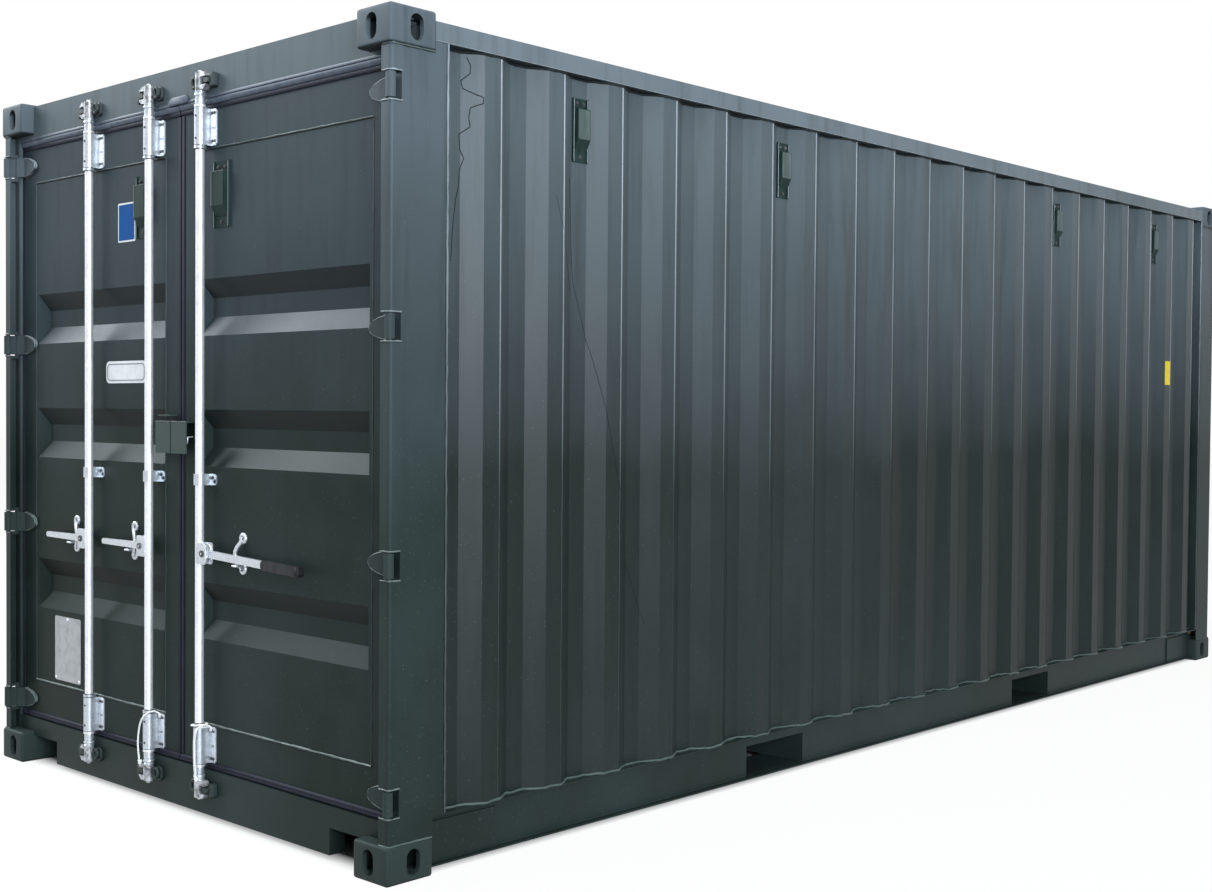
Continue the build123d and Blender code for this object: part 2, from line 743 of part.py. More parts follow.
def cross_members():
    """Channels under the floor, leaving the fork pockets free."""
    top = SILL_TOP - FLOOR_THICKNESS
    low = top - CROSS_MEMBER_HEIGHT
    first = DOOR_END + HEADER_INSET + HEADER_DEPTH + CROSS_MEMBER_PITCH / 2
    last = FRONT_END - POST_INSET - HEADER_DEPTH - CROSS_MEMBER_PITCH / 2 - CROSS_MEMBER_FLANGE
    count = round((last - first) / CROSS_MEMBER_PITCH) + 1
    pitch = (last - first) / (count - 1)
    reach = POCKET_WIDTH / 2 + POCKET_PLATE + CROSS_MEMBER_FLANGE
    places = [first + n * pitch for n in range(count)]
    places = [y for y in places if min(abs(y - centre) for centre in pocket_centres()) > reach]
    with BuildPart() as members:
        for y in places:
            with BuildSketch(Plane.YZ.offset(-RAIL_WEB)):
                with Locations((y + CROSS_MEMBER_FLANGE / 2, (low + top) / 2)):
                    Rectangle(CROSS_MEMBER_FLANGE, CROSS_MEMBER_HEIGHT)
                with Locations((y + CROSS_MEMBER_FLANGE / 2 + CROSS_MEMBER_PLATE, (low + top) / 2)):
                    Rectangle(
                        CROSS_MEMBER_FLANGE,
                        CROSS_MEMBER_HEIGHT - 2 * CROSS_MEMBER_PLATE,
                        mode=Mode.SUBTRACT,
                    )
            extrude(amount=2 * RAIL_WEB)
    save(members, "cross_members")


def fork_pockets():
    """Two tunnels across the base, with straps under both ends."""
    side_middle = (POCKET_WIDTH + POCKET_PLATE) / 2
    top = POCKET_FLOOR + POCKET_HEIGHT
    strap_middle = RAIL_WEB - POCKET_STRAP_LENGTH / 2
    with BuildPart() as pockets:
        for y in pocket_centres():
            with BuildSketch(Plane.YZ.offset(-RAIL_WEB)):
                with Locations((y, top + POCKET_PLATE / 2)):
                    Rectangle(POCKET_WIDTH + 2 * POCKET_PLATE, POCKET_PLATE)
                with Locations(
                    (y - side_middle, (POCKET_FLOOR + top) / 2), (y + side_middle, (POCKET_FLOOR + top) / 2)
                ):
                    Rectangle(POCKET_PLATE, POCKET_HEIGHT)
            extrude(amount=2 * RAIL_WEB)
            with Locations(
                (strap_middle, y, POCKET_FLOOR - POCKET_PLATE / 2),
                (-strap_middle, y, POCKET_FLOOR - POCKET_PLATE / 2),
            ):
                Box(POCKET_STRAP_LENGTH, POCKET_WIDTH + 2 * POCKET_PLATE, POCKET_PLATE)
    save(pockets, "fork_pockets")


def ventilator(width, height, body_width):
    """One ventilator as seen facing the wall: a flange with a hooded body, its back on Z = 0."""
    body_low = -height / 2 + VENT_BODY_DROP
    body_high = height / 2 - VENT_BODY_DROP
    with BuildPart() as vent:
        with BuildSketch():
            Rectangle(width, height)
        extrude(amount=VENT_FLANGE)
        with Locations(((width - VENT_RIM) / 2, 0, VENT_FLANGE), ((VENT_RIM - width) / 2, 0, VENT_FLANGE)):
            Box(VENT_RIM, height, 2 * VENT_RIM_HEIGHT)
        with Locations((0, 0, -VENT_RIM_HEIGHT)):
            Box(2 * width, 2 * height, 2 * VENT_RIM_HEIGHT, mode=Mode.SUBTRACT)
        with BuildSketch(Plane.YZ.offset(-body_width / 2)):
            with BuildLine():
                Polyline(
                    (body_low, VENT_FLANGE),
                    (body_low + VENT_BODY_DROP, VENT_FLANGE + VENT_BODY_DEPTH),
                    (body_high, VENT_FLANGE + VENT_BODY_DEPTH),
                    (body_high, VENT_FLANGE),
                    close=True,
                )
            make_face()
        extrude(amount=body_width)
    return vent.part


def side_vents():
    """Four ventilators in the valleys of each side wall."""
    wall_x = SIDE - WALL_INSET - WALL_DEPTH
    middle_z = SIDE_VENT_TOP - SIDE_VENT_HEIGHT / 2
    first_valley = DOOR_END + FIRST_CREST + CREST + SLOPE + VALLEY / 2
    body = ventilator(SIDE_VENT_WIDTH, SIDE_VENT_HEIGHT, SIDE_VENT_BODY)
    with BuildPart() as vents:
        for n in range(SIDE_VENT_VALLEYS):
            valley = 1 + n * SIDE_VENT_SKIP
            for place in (valley, CRESTS - 2 - valley):
                y = first_valley + place * PITCH
                with Locations(Plane((wall_x, y, middle_z), x_dir=(0, 1, 0), z_dir=(1, 0, 0))):
                    add(body)
        mirror(about=Plane.YZ)
    save(vents, "side_vents")


def keeper_lugs():
    """The two lugs of a keeper, one each side of the cam, their backs on Y = 0."""
    middle = (KEEPER_START + KEEPER_END) / 2
    with BuildPart() as lugs:
        with BuildSketch(Plane.XZ):
            with Locations((-middle, 0), (middle, 0)):
                Rectangle(KEEPER_END - KEEPER_START, CAM_HEIGHT)
            chamfer(vertices(), KEEPER_CORNER)
        extrude(amount=KEEPER_DEPTH)
    return lugs.part


def cam_keepers():
    """Keepers on the header and the sill: lugs, and a tongue welded on where the cam hooks in."""
    pair = keeper_lugs()
    back = DOOR_END + HEADER_INSET
    tongue = KEEPER_START - KEEPER_TONGUE_START
    with BuildPart() as lugs:
        for x in (LEFT_OUTER_ROD, LEFT_INNER_ROD, RIGHT_ROD):
            with Locations((x, back, BOTTOM_CAM), (x, back, TOP_CAM)):
                add(pair)
    with BuildPart() as tongues:
        for x, hand in ((LEFT_OUTER_ROD, -1), (LEFT_INNER_ROD, -1), (RIGHT_ROD, 1)):
            tongue_x = x + hand * (KEEPER_TONGUE_START + tongue / 2)
            tongue_y = back - TONGUE_DEPTH / 2
            with Locations((tongue_x, tongue_y, BOTTOM_CAM), (tongue_x, tongue_y, TOP_CAM)):
                Box(tongue, TONGUE_DEPTH, KEEPER_TONGUE)
    welded = Compound(label="cam_keepers", children=[lugs.part, tongues.part])
    export_step(welded, "parts/cam_keepers.step")


def leaf_frame(label, hand):
    """The tube frame round one door leaf."""
    width = LEAF_OUTER - LEAF_CENTRE_GAP
    middle_x = (LEAF_OUTER + LEAF_CENTRE_GAP) / 2
    hole_width = width - STILE_INNER - STILE_OUTER
    hole_x = LEAF_CENTRE_GAP + STILE_INNER + hole_width / 2
    hole_low = LEAF_LOW + LEAF_BOTTOM_MEMBER
    hole_high = LEAF_HIGH - LEAF_TOP_MEMBER
    with BuildPart() as frame:
        with BuildSketch(Plane.XZ.offset(-LEAF_Y)):
            with Locations((middle_x, (LEAF_LOW + LEAF_HIGH) / 2)):
                Rectangle(width, LEAF_HIGH - LEAF_LOW)
            with Locations((hole_x, (hole_low + hole_high) / 2)):
                Rectangle(hole_width, hole_high - hole_low, mode=Mode.SUBTRACT)
        extrude(amount=-LEAF_DEPTH)
        if hand < 0:
            mirror(about=Plane.YZ, mode=Mode.REPLACE)
    save(frame, label)


def trough(length, opening, bed):
    """One pressed trough, open on Y = 0: its two profiles cross to give the slanted ends."""
    with BuildPart() as block:
        with BuildSketch(Plane.YZ.offset(-length)):
            with BuildLine():
                Polyline(
                    (0, -opening / 2),
                    (TROUGH_DEPTH, -bed / 2),
                    (TROUGH_DEPTH, bed / 2),
                    (0, opening / 2),
                    close=True,
                )
            make_face()
        extrude(amount=2 * length)
        with BuildSketch(Plane.XY.offset(-opening)):
            with BuildLine():
                Polyline((-length / 2, 0), (TROUGH_END_SLOPE - length / 2, TROUGH_DEPTH),
                         (length / 2 - TROUGH_END_SLOPE, TROUGH_DEPTH), (length / 2, 0), close=True)
            make_face()
        extrude(amount=2 * opening, mode=Mode.INTERSECT)
    return block.part


def leaf_panel(label, hand):
    """The door sheet with three pressed troughs across it."""
    low_x = LEAF_CENTRE_GAP + STILE_INNER
    high_x = LEAF_OUTER - STILE_OUTER
    low_z = LEAF_LOW + LEAF_BOTTOM_MEMBER
    high_z = LEAF_HIGH - LEAF_TOP_MEMBER
    trough_low = low_x + TROUGH_INNER_INSET
    trough_high = high_x - TROUGH_OUTER_INSET
    trough_x = (trough_low + trough_high) / 2
    length = trough_high - trough_low
    outside = trough(length, TROUGH_OPENING, TROUGH_BED)
    inside = trough(length - 2 * SHEET, TROUGH_OPENING - 2 * SHEET, TROUGH_BED - 2 * SHEET)
    with BuildPart() as panel:
        with Locations(((low_x + high_x) / 2, LEAF_Y + SHEET / 2, (low_z + high_z) / 2)):
            Box(high_x - low_x, SHEET, high_z - low_z)
        for z in (TROUGH_LOWEST, TROUGH_MIDDLE, TROUGH_HIGHEST):
            with Locations((trough_x, LEAF_Y, z)):
                add(outside)
            with Locations((trough_x, LEAF_Y - SHEET, z)):
                add(inside, mode=Mode.SUBTRACT)
        if hand < 0:
            mirror(about=Plane.YZ, mode=Mode.REPLACE)
    save(panel, label)


def leaf_gasket(label, hand):
    """The rubber seal round one leaf."""
    low_x = GASKET_CENTRE_GAP
    high_x = POST_INNER - GASKET_FRAME_GAP
    low_z = SILL_TOP + GASKET_FRAME_GAP
    high_z = HEADER_BOTTOM - GASKET_FRAME_GAP
    with BuildPart() as gasket:
        with BuildSketch(Plane.XZ.offset(-(DOOR_END + GASKET_FACE))):
            with Locations(((low_x + high_x) / 2, (low_z + high_z) / 2)):
                Rectangle(high_x - low_x, high_z - low_z)
            with Locations(((LEAF_CENTRE_GAP + LEAF_OUTER) / 2, (LEAF_LOW + LEAF_HIGH) / 2)):
                Rectangle(LEAF_OUTER - LEAF_CENTRE_GAP, LEAF_HIGH - LEAF_LOW, mode=Mode.SUBTRACT)
        extrude(amount=-GASKET_DEPTH)
        if hand < 0:
            mirror(about=Plane.YZ, mode=Mode.REPLACE)
    save(gasket, label)


def hinge_blade():
    """One right-hand hinge blade: a barrel on the pin and a strap that cranks back to the leaf."""
    seat = LEAF_Y - BLADE_THICKNESS / 2
    root = SIDE - BLADE_ROOT
    tip = SIDE - BLADE_END + BLADE_TIP_HEIGHT / 2
    with BuildPart() as blade:
        with BuildSketch(Plane.XY.offset(-BARREL_HEIGHT)):
            with BuildLine():
                Polyline(
                    (PIN_X, PIN_Y),
                    (SIDE - CRANK_INNER, DOOR_END + CRANK_INNER_DEPTH),
                    (SIDE - CRANK_OUTER, DOOR_END + CRANK_OUTER_DEPTH),
                    (SIDE - BLADE_ROOT, seat),
                    (SIDE - BLADE_END - BLADE_THICKNESS, seat),
                )
                offset(amount=BLADE_THICKNESS / 2, kind=Kind.INTERSECTION)
            make_face()
            with Locations((PIN_X, PIN_Y)):
                Circle(BARREL_RADIUS)
                Circle(PIN_RADIUS + PIN_CLEARANCE, mode=Mode.SUBTRACT)
        extrude(amount=2 * BARREL_HEIGHT)
        with BuildSketch(Plane.XZ.offset(-LEAF_Y)):
            with BuildLine():
                top = Polyline(
                    (tip, BLADE_TIP_HEIGHT / 2),
                    (root, BARREL_HEIGHT / 2),
                    (PIN_X + SIDE - root, BARREL_HEIGHT / 2),
                )
                foot = Polyline(
                    top @ 1,
                    (PIN_X + SIDE - root, -BARREL_HEIGHT / 2),
                    (root, -BARREL_HEIGHT / 2),
                    (tip, -BLADE_TIP_HEIGHT / 2),
                )
                ThreePointArc(foot @ 1, (SIDE - BLADE_END, 0), top @ 0)
            make_face()
        extrude(amount=2 * LEAF_FACE, both=True, mode=Mode.INTERSECT)
    return blade.part


def leaf_hinges(label, hand):
    """Four hinge blades welded to the outer stile of a leaf."""
    blade = hinge_blade()
    with BuildPart() as blades:
        with Locations(*[(0, 0, z) for z in HINGE_HEIGHTS]):
            add(blade)
        if hand < 0:
            mirror(about=Plane.YZ, mode=Mode.REPLACE)
    save(blades, label)


def bearing(height):
    """One bearing bracket, its foot on Z = 0 and the rod on its origin: a strap with two flanges."""
    inner = ROD_RADIUS + BEARING_CLEARANCE
    seat = LEAF_Y - ROD_Y
    with BuildPart() as bracket:
        with BuildSketch():
            Circle(BEARING_RADIUS)
            with Locations((0, seat / 2)):
                Rectangle(2 * BEARING_RADIUS, seat)
            with Locations((0, seat - BEARING_PLATE / 2)):
                Rectangle(BEARING_PLATE_WIDTH, BEARING_PLATE)
            Circle(inner, mode=Mode.SUBTRACT)
            with Locations((0, seat / 2)):
                Rectangle(2 * inner, seat, mode=Mode.SUBTRACT)
        extrude(amount=height)
        corners = bracket.edges().filter_by(Axis.Y).group_by(SortBy.LENGTH)[0]
        chamfer(corners, BEARING_CORNER)
    return bracket.part


def rod_brackets(label, rods):
    """Bearing brackets on a leaf: a long one at each end of a rod and a short one above the handle."""
    end_bearing = bearing(END_BEARING_HEIGHT)
    middle_bearing = bearing(MIDDLE_BEARING_HEIGHT)
    with BuildPart() as brackets:
        for x in rods:
            with Locations(*[(x, ROD_Y, z) for z in END_BEARINGS]):
                add(end_bearing)
            with Locations((x, ROD_Y, MIDDLE_BEARING)):
                add(middle_bearing)
    save(brackets, label)


def forged_cam(hand):
    """One cam on the end of a rod, with two horns that close round the keeper's tongue."""
    with BuildPart() as cam:
        with BuildSketch(Plane.XZ):
            with Locations((CAM_REACH / 2, 0)):
                Rectangle(CAM_REACH, CAM_HEIGHT)
            chamfer(vertices().group_by(Axis.X)[-1], CAM_CORNER)
            with Locations((CAM_HUB_RADIUS + CAM_REACH / 2, 0)):
                Rectangle(CAM_REACH, CAM_SLOT, mode=Mode.SUBTRACT)
        extrude(amount=CAM_WIDTH / 2, both=True)
        Cylinder(CAM_HUB_RADIUS, CAM_HEIGHT)
        if hand < 0:
            mirror(about=Plane.YZ, mode=Mode.REPLACE)
    return cam.part


def handle_clevis(hand):
    """The fork on a rod that carries the handle, with its rivet."""
    depth = BAR_THICKNESS + 2 * (CHEEK_GAP + HUB_CHEEK)
    gap = HUB_WIDTH - HUB_WEB
    with BuildPart() as clevis:
        with BuildSketch(Plane.XZ):
            with Locations((HUB_WIDTH / 2, 0)):
                Rectangle(HUB_WIDTH, HUB_HEIGHT)
            chamfer(vertices().group_by(Axis.X)[-1], HUB_CORNER)
        extrude(amount=depth / 2, both=True)
        with Locations((HUB_WEB + gap, 0, 0)):
            Box(2 * gap, BAR_THICKNESS + 2 * CHEEK_GAP, 2 * HUB_HEIGHT, mode=Mode.SUBTRACT)
        with BuildSketch(Plane.XZ):
            with Locations((HANDLE_PIVOT, 0)):
                Circle(HANDLE_PIN_RADIUS)
        extrude(amount=depth / 2, both=True)
        if hand < 0:
            mirror(about=Plane.YZ, mode=Mode.REPLACE)
    return clevis.part


def lock_rod(label, x, hand):
    """A lock rod with its rings and handle fork, and a forged cam welded on each end."""
    low = BOTTOM_CAM + CAM_HEIGHT / 2
    high = TOP_CAM - CAM_HEIGHT / 2
    ring_low = END_BEARINGS[0] - COLLAR_GAP - COLLAR_HEIGHT / 2
    ring_high = END_BEARINGS[1] + END_BEARING_HEIGHT + COLLAR_GAP + COLLAR_HEIGHT / 2
    with BuildPart() as rod:
        with Locations((x, ROD_Y, (low + high) / 2)):
            Cylinder(ROD_RADIUS, high - low)
        with Locations((x, ROD_Y, ring_low), (x, ROD_Y, ring_high)):
            Cylinder(COLLAR_RADIUS, COLLAR_HEIGHT)
        with Locations((x, ROD_Y, HANDLE_HEIGHT)):
            add(handle_clevis(hand))
    with BuildPart() as cams:
        with Locations((x, ROD_Y, BOTTOM_CAM), (x, ROD_Y, TOP_CAM)):
            add(forged_cam(hand))
    welded = Compound(label=label, children=[rod.part, cams.part])
    export_step(welded, f"parts/{label}.step")


def bar_outline(x, hand, reach, droop, tip_height, bore):
    """The outline of a handle bar from its pivot to its tip, with or without the pivot hole."""
    pivot = Pos(x + hand * HANDLE_PIVOT, HANDLE_HEIGHT) * Rot(0, 0, -hand * droop)
    with BuildSketch() as outline:
        with Locations(pivot):
            Circle(BAR_HEIGHT / 2)
        with Locations(pivot * Pos(hand * (reach - HANDLE_PIVOT - tip_height / 2), 0)):
            Circle(tip_height / 2)
        make_hull()
        if bore:
            with Locations(pivot):
                Circle(HANDLE_PIN_RADIUS + HANDLE_CLEARANCE, mode=Mode.SUBTRACT)
    return outline.sketch


def handle(label, x, hand, reach, droop, tip_height):
    """A flat handle bar that turns on the rivet of its clevis."""
    with BuildPart() as bar:
        with BuildSketch(Plane.XZ.offset(-ROD_Y)):
            add(bar_outline(x, hand, reach, droop, tip_height, True))
        extrude(amount=BAR_THICKNESS / 2, both=True)
    save(bar, label)


def handle_grip(label, x, hand, start, end, droop):
    """The rubber sleeve over the end of a handle bar."""
    pivot = Pos(x + hand * HANDLE_PIVOT, HANDLE_HEIGHT) * Rot(0, 0, -hand * droop)
    middle = (start + end) / 2 - HANDLE_PIVOT
    with BuildPart() as grip:
        with BuildSketch(Plane.XZ.offset(-ROD_Y)):
            with Locations(pivot * Pos(hand * middle, 0)):
                Rectangle(end - start, GRIP_HEIGHT)
            chamfer(vertices(), GRIP_HEIGHT / 4)
        extrude(amount=GRIP_THICKNESS / 2, both=True)
        with BuildSketch(Plane.XZ.offset(-ROD_Y)):
            add(bar_outline(x, hand, end - GRIP_END, droop, BAR_HEIGHT, False))
        extrude(amount=BAR_THICKNESS / 2, both=True, mode=Mode.SUBTRACT)
    save(grip, label)


def handle_catches(label, hand, places):
    """Catches on a leaf: a plate with two lobes, a slanted arm, and a ledge under the bar."""
    lobe = CATCH_WIDTH / 2
    ledge_reach = LEAF_FACE - ROD_DEPTH + BAR_THICKNESS / 2
    with BuildPart() as catches:
        for x, drop in places:
            bar_foot = HANDLE_HEIGHT - drop - BAR_HEIGHT / 2
            with BuildSketch(Plane.XZ.offset(-LEAF_Y)):
                with Locations((x, CATCH_LOW + lobe), (x, CATCH_HIGH - lobe)):
                    Circle(lobe)
                make_hull()
            extrude(amount=CATCH_PLATE)
            with BuildSketch(Plane.XZ.offset(-LEAF_Y)):
                with Locations((x, CATCH_HIGH - lobe)):
                    Circle(CATCH_ARM_RADIUS)
                with Locations((x - hand * CATCH_ARM_REACH, CATCH_HIGH - lobe - CATCH_ARM_DROP)):
                    Circle(CATCH_ARM_RADIUS)
                make_hull()
            extrude(amount=CATCH_ARM_DEPTH)
            ledge_z = bar_foot - CATCH_CLEARANCE - CATCH_LEDGE / 2
            with Locations((x, LEAF_Y - ledge_reach / 2, ledge_z)):
                Box(CATCH_WIDTH, ledge_reach, CATCH_LEDGE)
    save(catches, label)


def leaf_vent(label, hand):
    """The ventilator near the top of one leaf."""
    middle_z = DOOR_VENT_TOP - DOOR_VENT_HEIGHT / 2
    body = ventilator(DOOR_VENT_WIDTH, DOOR_VENT_HEIGHT, DOOR_VENT_BODY)
    with BuildPart() as vent:
        with Locations(Plane((hand * DOOR_VENT_CENTRE, LEAF_Y, middle_z), x_dir=(1, 0, 0), z_dir=(0, -1, 0))):
            add(body)
    save(vent, label)


def lock_box(label, hand):
    """Half of the padlock box, open at the foot; the right half is open at its side too."""
    width = LOCK_BOX_REACH - GASKET_CENTRE_GAP
    depth = LEAF_FACE - LOCK_BOX_FACE
    height = LOCK_BOX_HIGH - LOCK_BOX_LOW
    front = DOOR_END + LOCK_BOX_FACE
    corner = (Align.MIN, Align.MIN, Align.MIN)
    with BuildPart() as box:
        with Locations((GASKET_CENTRE_GAP, front, LOCK_BOX_LOW)):
            Box(width, depth, height, align=corner)
        with Locations((0, front + LOCK_BOX_PLATE, LOCK_BOX_LOW - 1)):
            Box(
                LOCK_BOX_REACH - LOCK_BOX_PLATE if hand < 0 else LOCK_BOX_REACH + 1,
                depth,
                height - LOCK_BOX_PLATE + 1,
                align=corner,
                mode=Mode.SUBTRACT,
            )
        if hand < 0:
            with Locations((LEAF_CENTRE_GAP, front + LOCK_HOOD_SETBACK, LOCK_BOX_HIGH + LOCK_HOOD_GAP)):
                Box(LOCK_BOX_REACH - LEAF_CENTRE_GAP, depth - LOCK_HOOD_SETBACK, LOCK_BOX_PLATE, align=corner)
            mirror(about=Plane.YZ, mode=Mode.REPLACE)
    save(box, label)


def rope_radii(points):
    """Bend radius at each corner of a rope route, as large as its two runs allow."""
    radii = []
    for before, corner, after in zip(points, points[1:], points[2:]):
        run_in = Vector(corner) - Vector(before)
        run_out = Vector(after) - Vector(corner)
        turn = radians(run_in.get_angle(run_out))
        radii.append(0.45 * min(run_in.length, run_out.length) / tan(turn / 2))
    print("rope radii", [round(r, 1) for r in radii])
    return radii


def tie_rope(label, x, across):
    """A tie-back rope, held by the flange of a lower bracket, that hangs in front of it."""
    points = [
        (x + side, DOOR_END + inward, up) for side, inward, up in zip(across, ROPE_INWARD, ROPE_UP)
    ]
    with BuildPart() as rope:
        with BuildLine():
            route = FilletPolyline(*points, radius=rope_radii(points))
        with BuildSketch(Plane(route @ 0, z_dir=route % 0)):
            Circle(ROPE_RADIUS)
        sweep(path=route)
    straight = pi * ROPE_RADIUS**2 * route.length
    print(label, "length", round(route.length), "volume", round(rope.part.volume), "of", round(straight))
    save(rope, label)


corner_fittings("bottom_corner_fittings", 0, 1)
corner_fittings("top_corner_fittings", HEIGHT, -1)
door_posts()
hinge_pins()
front_posts()
door_header()
door_sill()
front_top_rail()
front_bottom_rail()
top_side_rails()
bottom_side_rails()
side_wall("left_side_wall", -1)
side_wall("right_side_wall", 1)
front_wall()
roof()
floor()
cross_members()
fork_pockets()
side_vents()
cam_keepers()

for side_name, hand in (("left", -1), ("right", 1)):
    leaf_frame(f"{side_name}_door_frame", hand)
    leaf_panel(f"{side_name}_door_panel", hand)
    leaf_gasket(f"{side_name}_door_gasket", hand)
    leaf_hinges(f"{side_name}_door_hinges", hand)
    leaf_vent(f"{side_name}_door_vent", hand)
    lock_box(f"{side_name}_lock_box", hand)

rod_brackets("left_rod_brackets", (LEFT_OUTER_ROD, LEFT_INNER_ROD))
rod_brackets("right_rod_brackets", (RIGHT_ROD,))
lock_rod("left_outer_rod", LEFT_OUTER_ROD, -1)
lock_rod("left_inner_rod", LEFT_INNER_ROD, -1)
lock_rod("right_rod", RIGHT_ROD, 1)
handle("left_outer_handle", LEFT_OUTER_ROD, -1, SHORT_HANDLE, 0, BAR_TIP_HEIGHT)
handle("left_inner_handle", LEFT_INNER_ROD, -1, SHORT_HANDLE, 0, BAR_TIP_HEIGHT)
handle("right_handle", RIGHT_ROD, 1, LONG_HANDLE - GRIP_END, HANDLE_DROOP, BAR_HEIGHT)
handle_grip("right_handle_grip", RIGHT_ROD, 1, GRIP_START, LONG_HANDLE, HANDLE_DROOP)
catch_drop = (CATCH_LONG - HANDLE_PIVOT) * tan(radians(HANDLE_DROOP))
handle_catches(
    "left_handle_catches", -1, ((LEFT_OUTER_ROD - CATCH_SHORT, 0), (LEFT_INNER_ROD - CATCH_SHORT, 0))
)
handle_catches("right_handle_catch", 1, ((RIGHT_ROD + CATCH_LONG, catch_drop),))
tie_rope("left_tie_rope", LEFT_INNER_ROD, LEFT_ROPE_ACROSS)
tie_rope("right_tie_rope", RIGHT_ROD, RIGHT_ROPE_ACROSS)
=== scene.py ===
import math
import random

import bpy
from mathutils import Matrix, Vector


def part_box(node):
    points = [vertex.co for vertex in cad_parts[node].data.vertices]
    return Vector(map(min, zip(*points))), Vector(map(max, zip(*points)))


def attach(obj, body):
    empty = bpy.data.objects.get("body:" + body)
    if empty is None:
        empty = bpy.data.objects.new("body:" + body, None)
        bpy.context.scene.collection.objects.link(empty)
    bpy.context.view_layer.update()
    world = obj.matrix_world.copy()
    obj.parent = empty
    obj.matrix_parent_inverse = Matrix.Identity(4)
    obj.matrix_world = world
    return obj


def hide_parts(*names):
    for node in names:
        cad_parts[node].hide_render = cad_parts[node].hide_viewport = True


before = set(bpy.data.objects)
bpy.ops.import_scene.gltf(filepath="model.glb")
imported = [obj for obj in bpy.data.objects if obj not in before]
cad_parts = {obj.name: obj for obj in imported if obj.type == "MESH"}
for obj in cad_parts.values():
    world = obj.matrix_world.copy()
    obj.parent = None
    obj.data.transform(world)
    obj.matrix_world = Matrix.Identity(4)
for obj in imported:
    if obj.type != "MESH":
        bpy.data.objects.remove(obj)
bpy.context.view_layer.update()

# Places in the frame, in millimetres: across, inwards from the door end, and up
MM = 0.001
DOOR_END = -3029.0
SIDE = 1219.0
LENGTH = 6058.0
HEIGHT = 2591.0
LEAF_FACE = 66.0
LEAF_LOW = 183.0
LEAF_HIGH = 2441.0
LEAF_OUTER = 1162.0
SHEET_LOW = LEAF_LOW + 142
SHEET_HIGH = LEAF_HIGH - 155
RAIL_TOP = 179.5
TOP_RAIL_LOW = 2505.0

LEAVES = (("left_door", -1), ("right_door", 1))
# Lock rods: name, place across, the way that the handle points, and the leaf that carries the rod
RODS = (
    ("left_outer", -582.0, -1, "left_door"),
    ("left_inner", -158.0, -1, "left_door"),
    ("right", 170.0, 1, "right_door"),
)
ROD_DEPTH = 30.0
END_BEARINGS = (195.0, 2293.0)
END_BEARING_HEIGHT = 125.0
MIDDLE_BEARING = 1163.0
BRACKET_FACE = 62.0
COLLAR_END = 10.0
TOP_CAM = 2506.0
BOTTOM_CAM = 110.0
CAM_HALF = 30.0
HANDLE_HEIGHT = 914.0
HANDLE_PIVOT = 38.0
FORK_FRONT = 14.5
FORK_BACK = 45.5
FORK_CHEEK = 5.0
CATCH_LOBES = (974.0, 872.0)
HINGE_HEIGHTS = (243.0, 946.3, 1649.7, 2353.0)
HINGE_HALF = 43.5

# Corner fittings
FITTING_LENGTH = 178.0
FITTING_WIDTH = 162.0
FITTING_HEIGHT = 118.0
CASTING_EDGE = 10.0
CASTING_HOLLOW = (131.0, 147.0, 76.0)
HOLE_OUT = SIDE - 89
HOLE_IN = 101.5
FACE_HOLE = (51.0, 79.5)
TOP_HOLE = (63.5, 124.5)
CUTTER_DEPTH = 60.0
CUTTER_START = 20.0

# Corrugations of the side walls
FIRST_CREST = 379.5
PITCH = 279.3
CRESTS = 20
CREST = 72.0
SLOPE = 68.0
VALLEY = 71.3
CREST_FACE = SIDE - 10.0
VALLEY_FACE = SIDE - 46.0
WALL_START = 228.0
WALL_END = 5868.0

# Ventilators
VENT_CRESTS = (1, 5, 13, 17)
SIDE_VENT_UP = 2333.0
DOOR_VENT_ACROSS = 251.0


def at(across, inward, up):
    """A place in metres from millimetres across, inwards from the door end, and up."""
    return Vector((across * MM, (DOOR_END + inward) * MM, up * MM))


def moved(across, inward, up):
    """The move that takes a piece from the origin to such a place."""
    return Matrix.Translation(at(across, inward, up))


def turned(degrees, axis):
    """A turn about one axis of the frame."""
    return Matrix.Rotation(math.radians(degrees), 4, axis)


# Camera, from the vanishing lines and corners of the photograph
CAMERA_PLACE = (4.7437, -5.8622, 1.4111)
CAMERA_YAW = -0.7531
CAMERA_PITCH = -0.0237
CAMERA_ROLL = 0.0077
CAMERA_LENS = 45.675


def link(item):
    """Put an object in the scene."""
    bpy.context.scene.collection.objects.link(item)


def add_camera():
    """The photograph's camera, turned by hand from its three angles."""
    flat = math.cos(CAMERA_PITCH)
    forward = Vector((math.sin(CAMERA_YAW) * flat, math.cos(CAMERA_YAW) * flat, math.sin(CAMERA_PITCH)))
    level = Vector((math.cos(CAMERA_YAW), -math.sin(CAMERA_YAW), 0))
    upright = level.cross(forward)
    right = level * math.cos(CAMERA_ROLL) + upright * math.sin(CAMERA_ROLL)
    up = upright * math.cos(CAMERA_ROLL) - level * math.sin(CAMERA_ROLL)
    lens = bpy.data.cameras.new("camera")
    lens.lens = CAMERA_LENS
    lens.sensor_width = 36
    lens.clip_end = 200
    camera = bpy.data.objects.new("camera", lens)
    turn = Matrix((right, up, -forward)).transposed().to_4x4()
    camera.matrix_world = Matrix.Translation(CAMERA_PLACE) @ turn
    link(camera)
    bpy.context.scene.camera = camera


add_camera()
bpy.context.scene.view_settings.view_transform = "Standard"


def new_material(name):
    """An empty node material and its tree."""
    material = bpy.data.materials.new(name)
    material.use_nodes = True
    tree = material.node_tree
    tree.nodes.clear()
    return material, tree


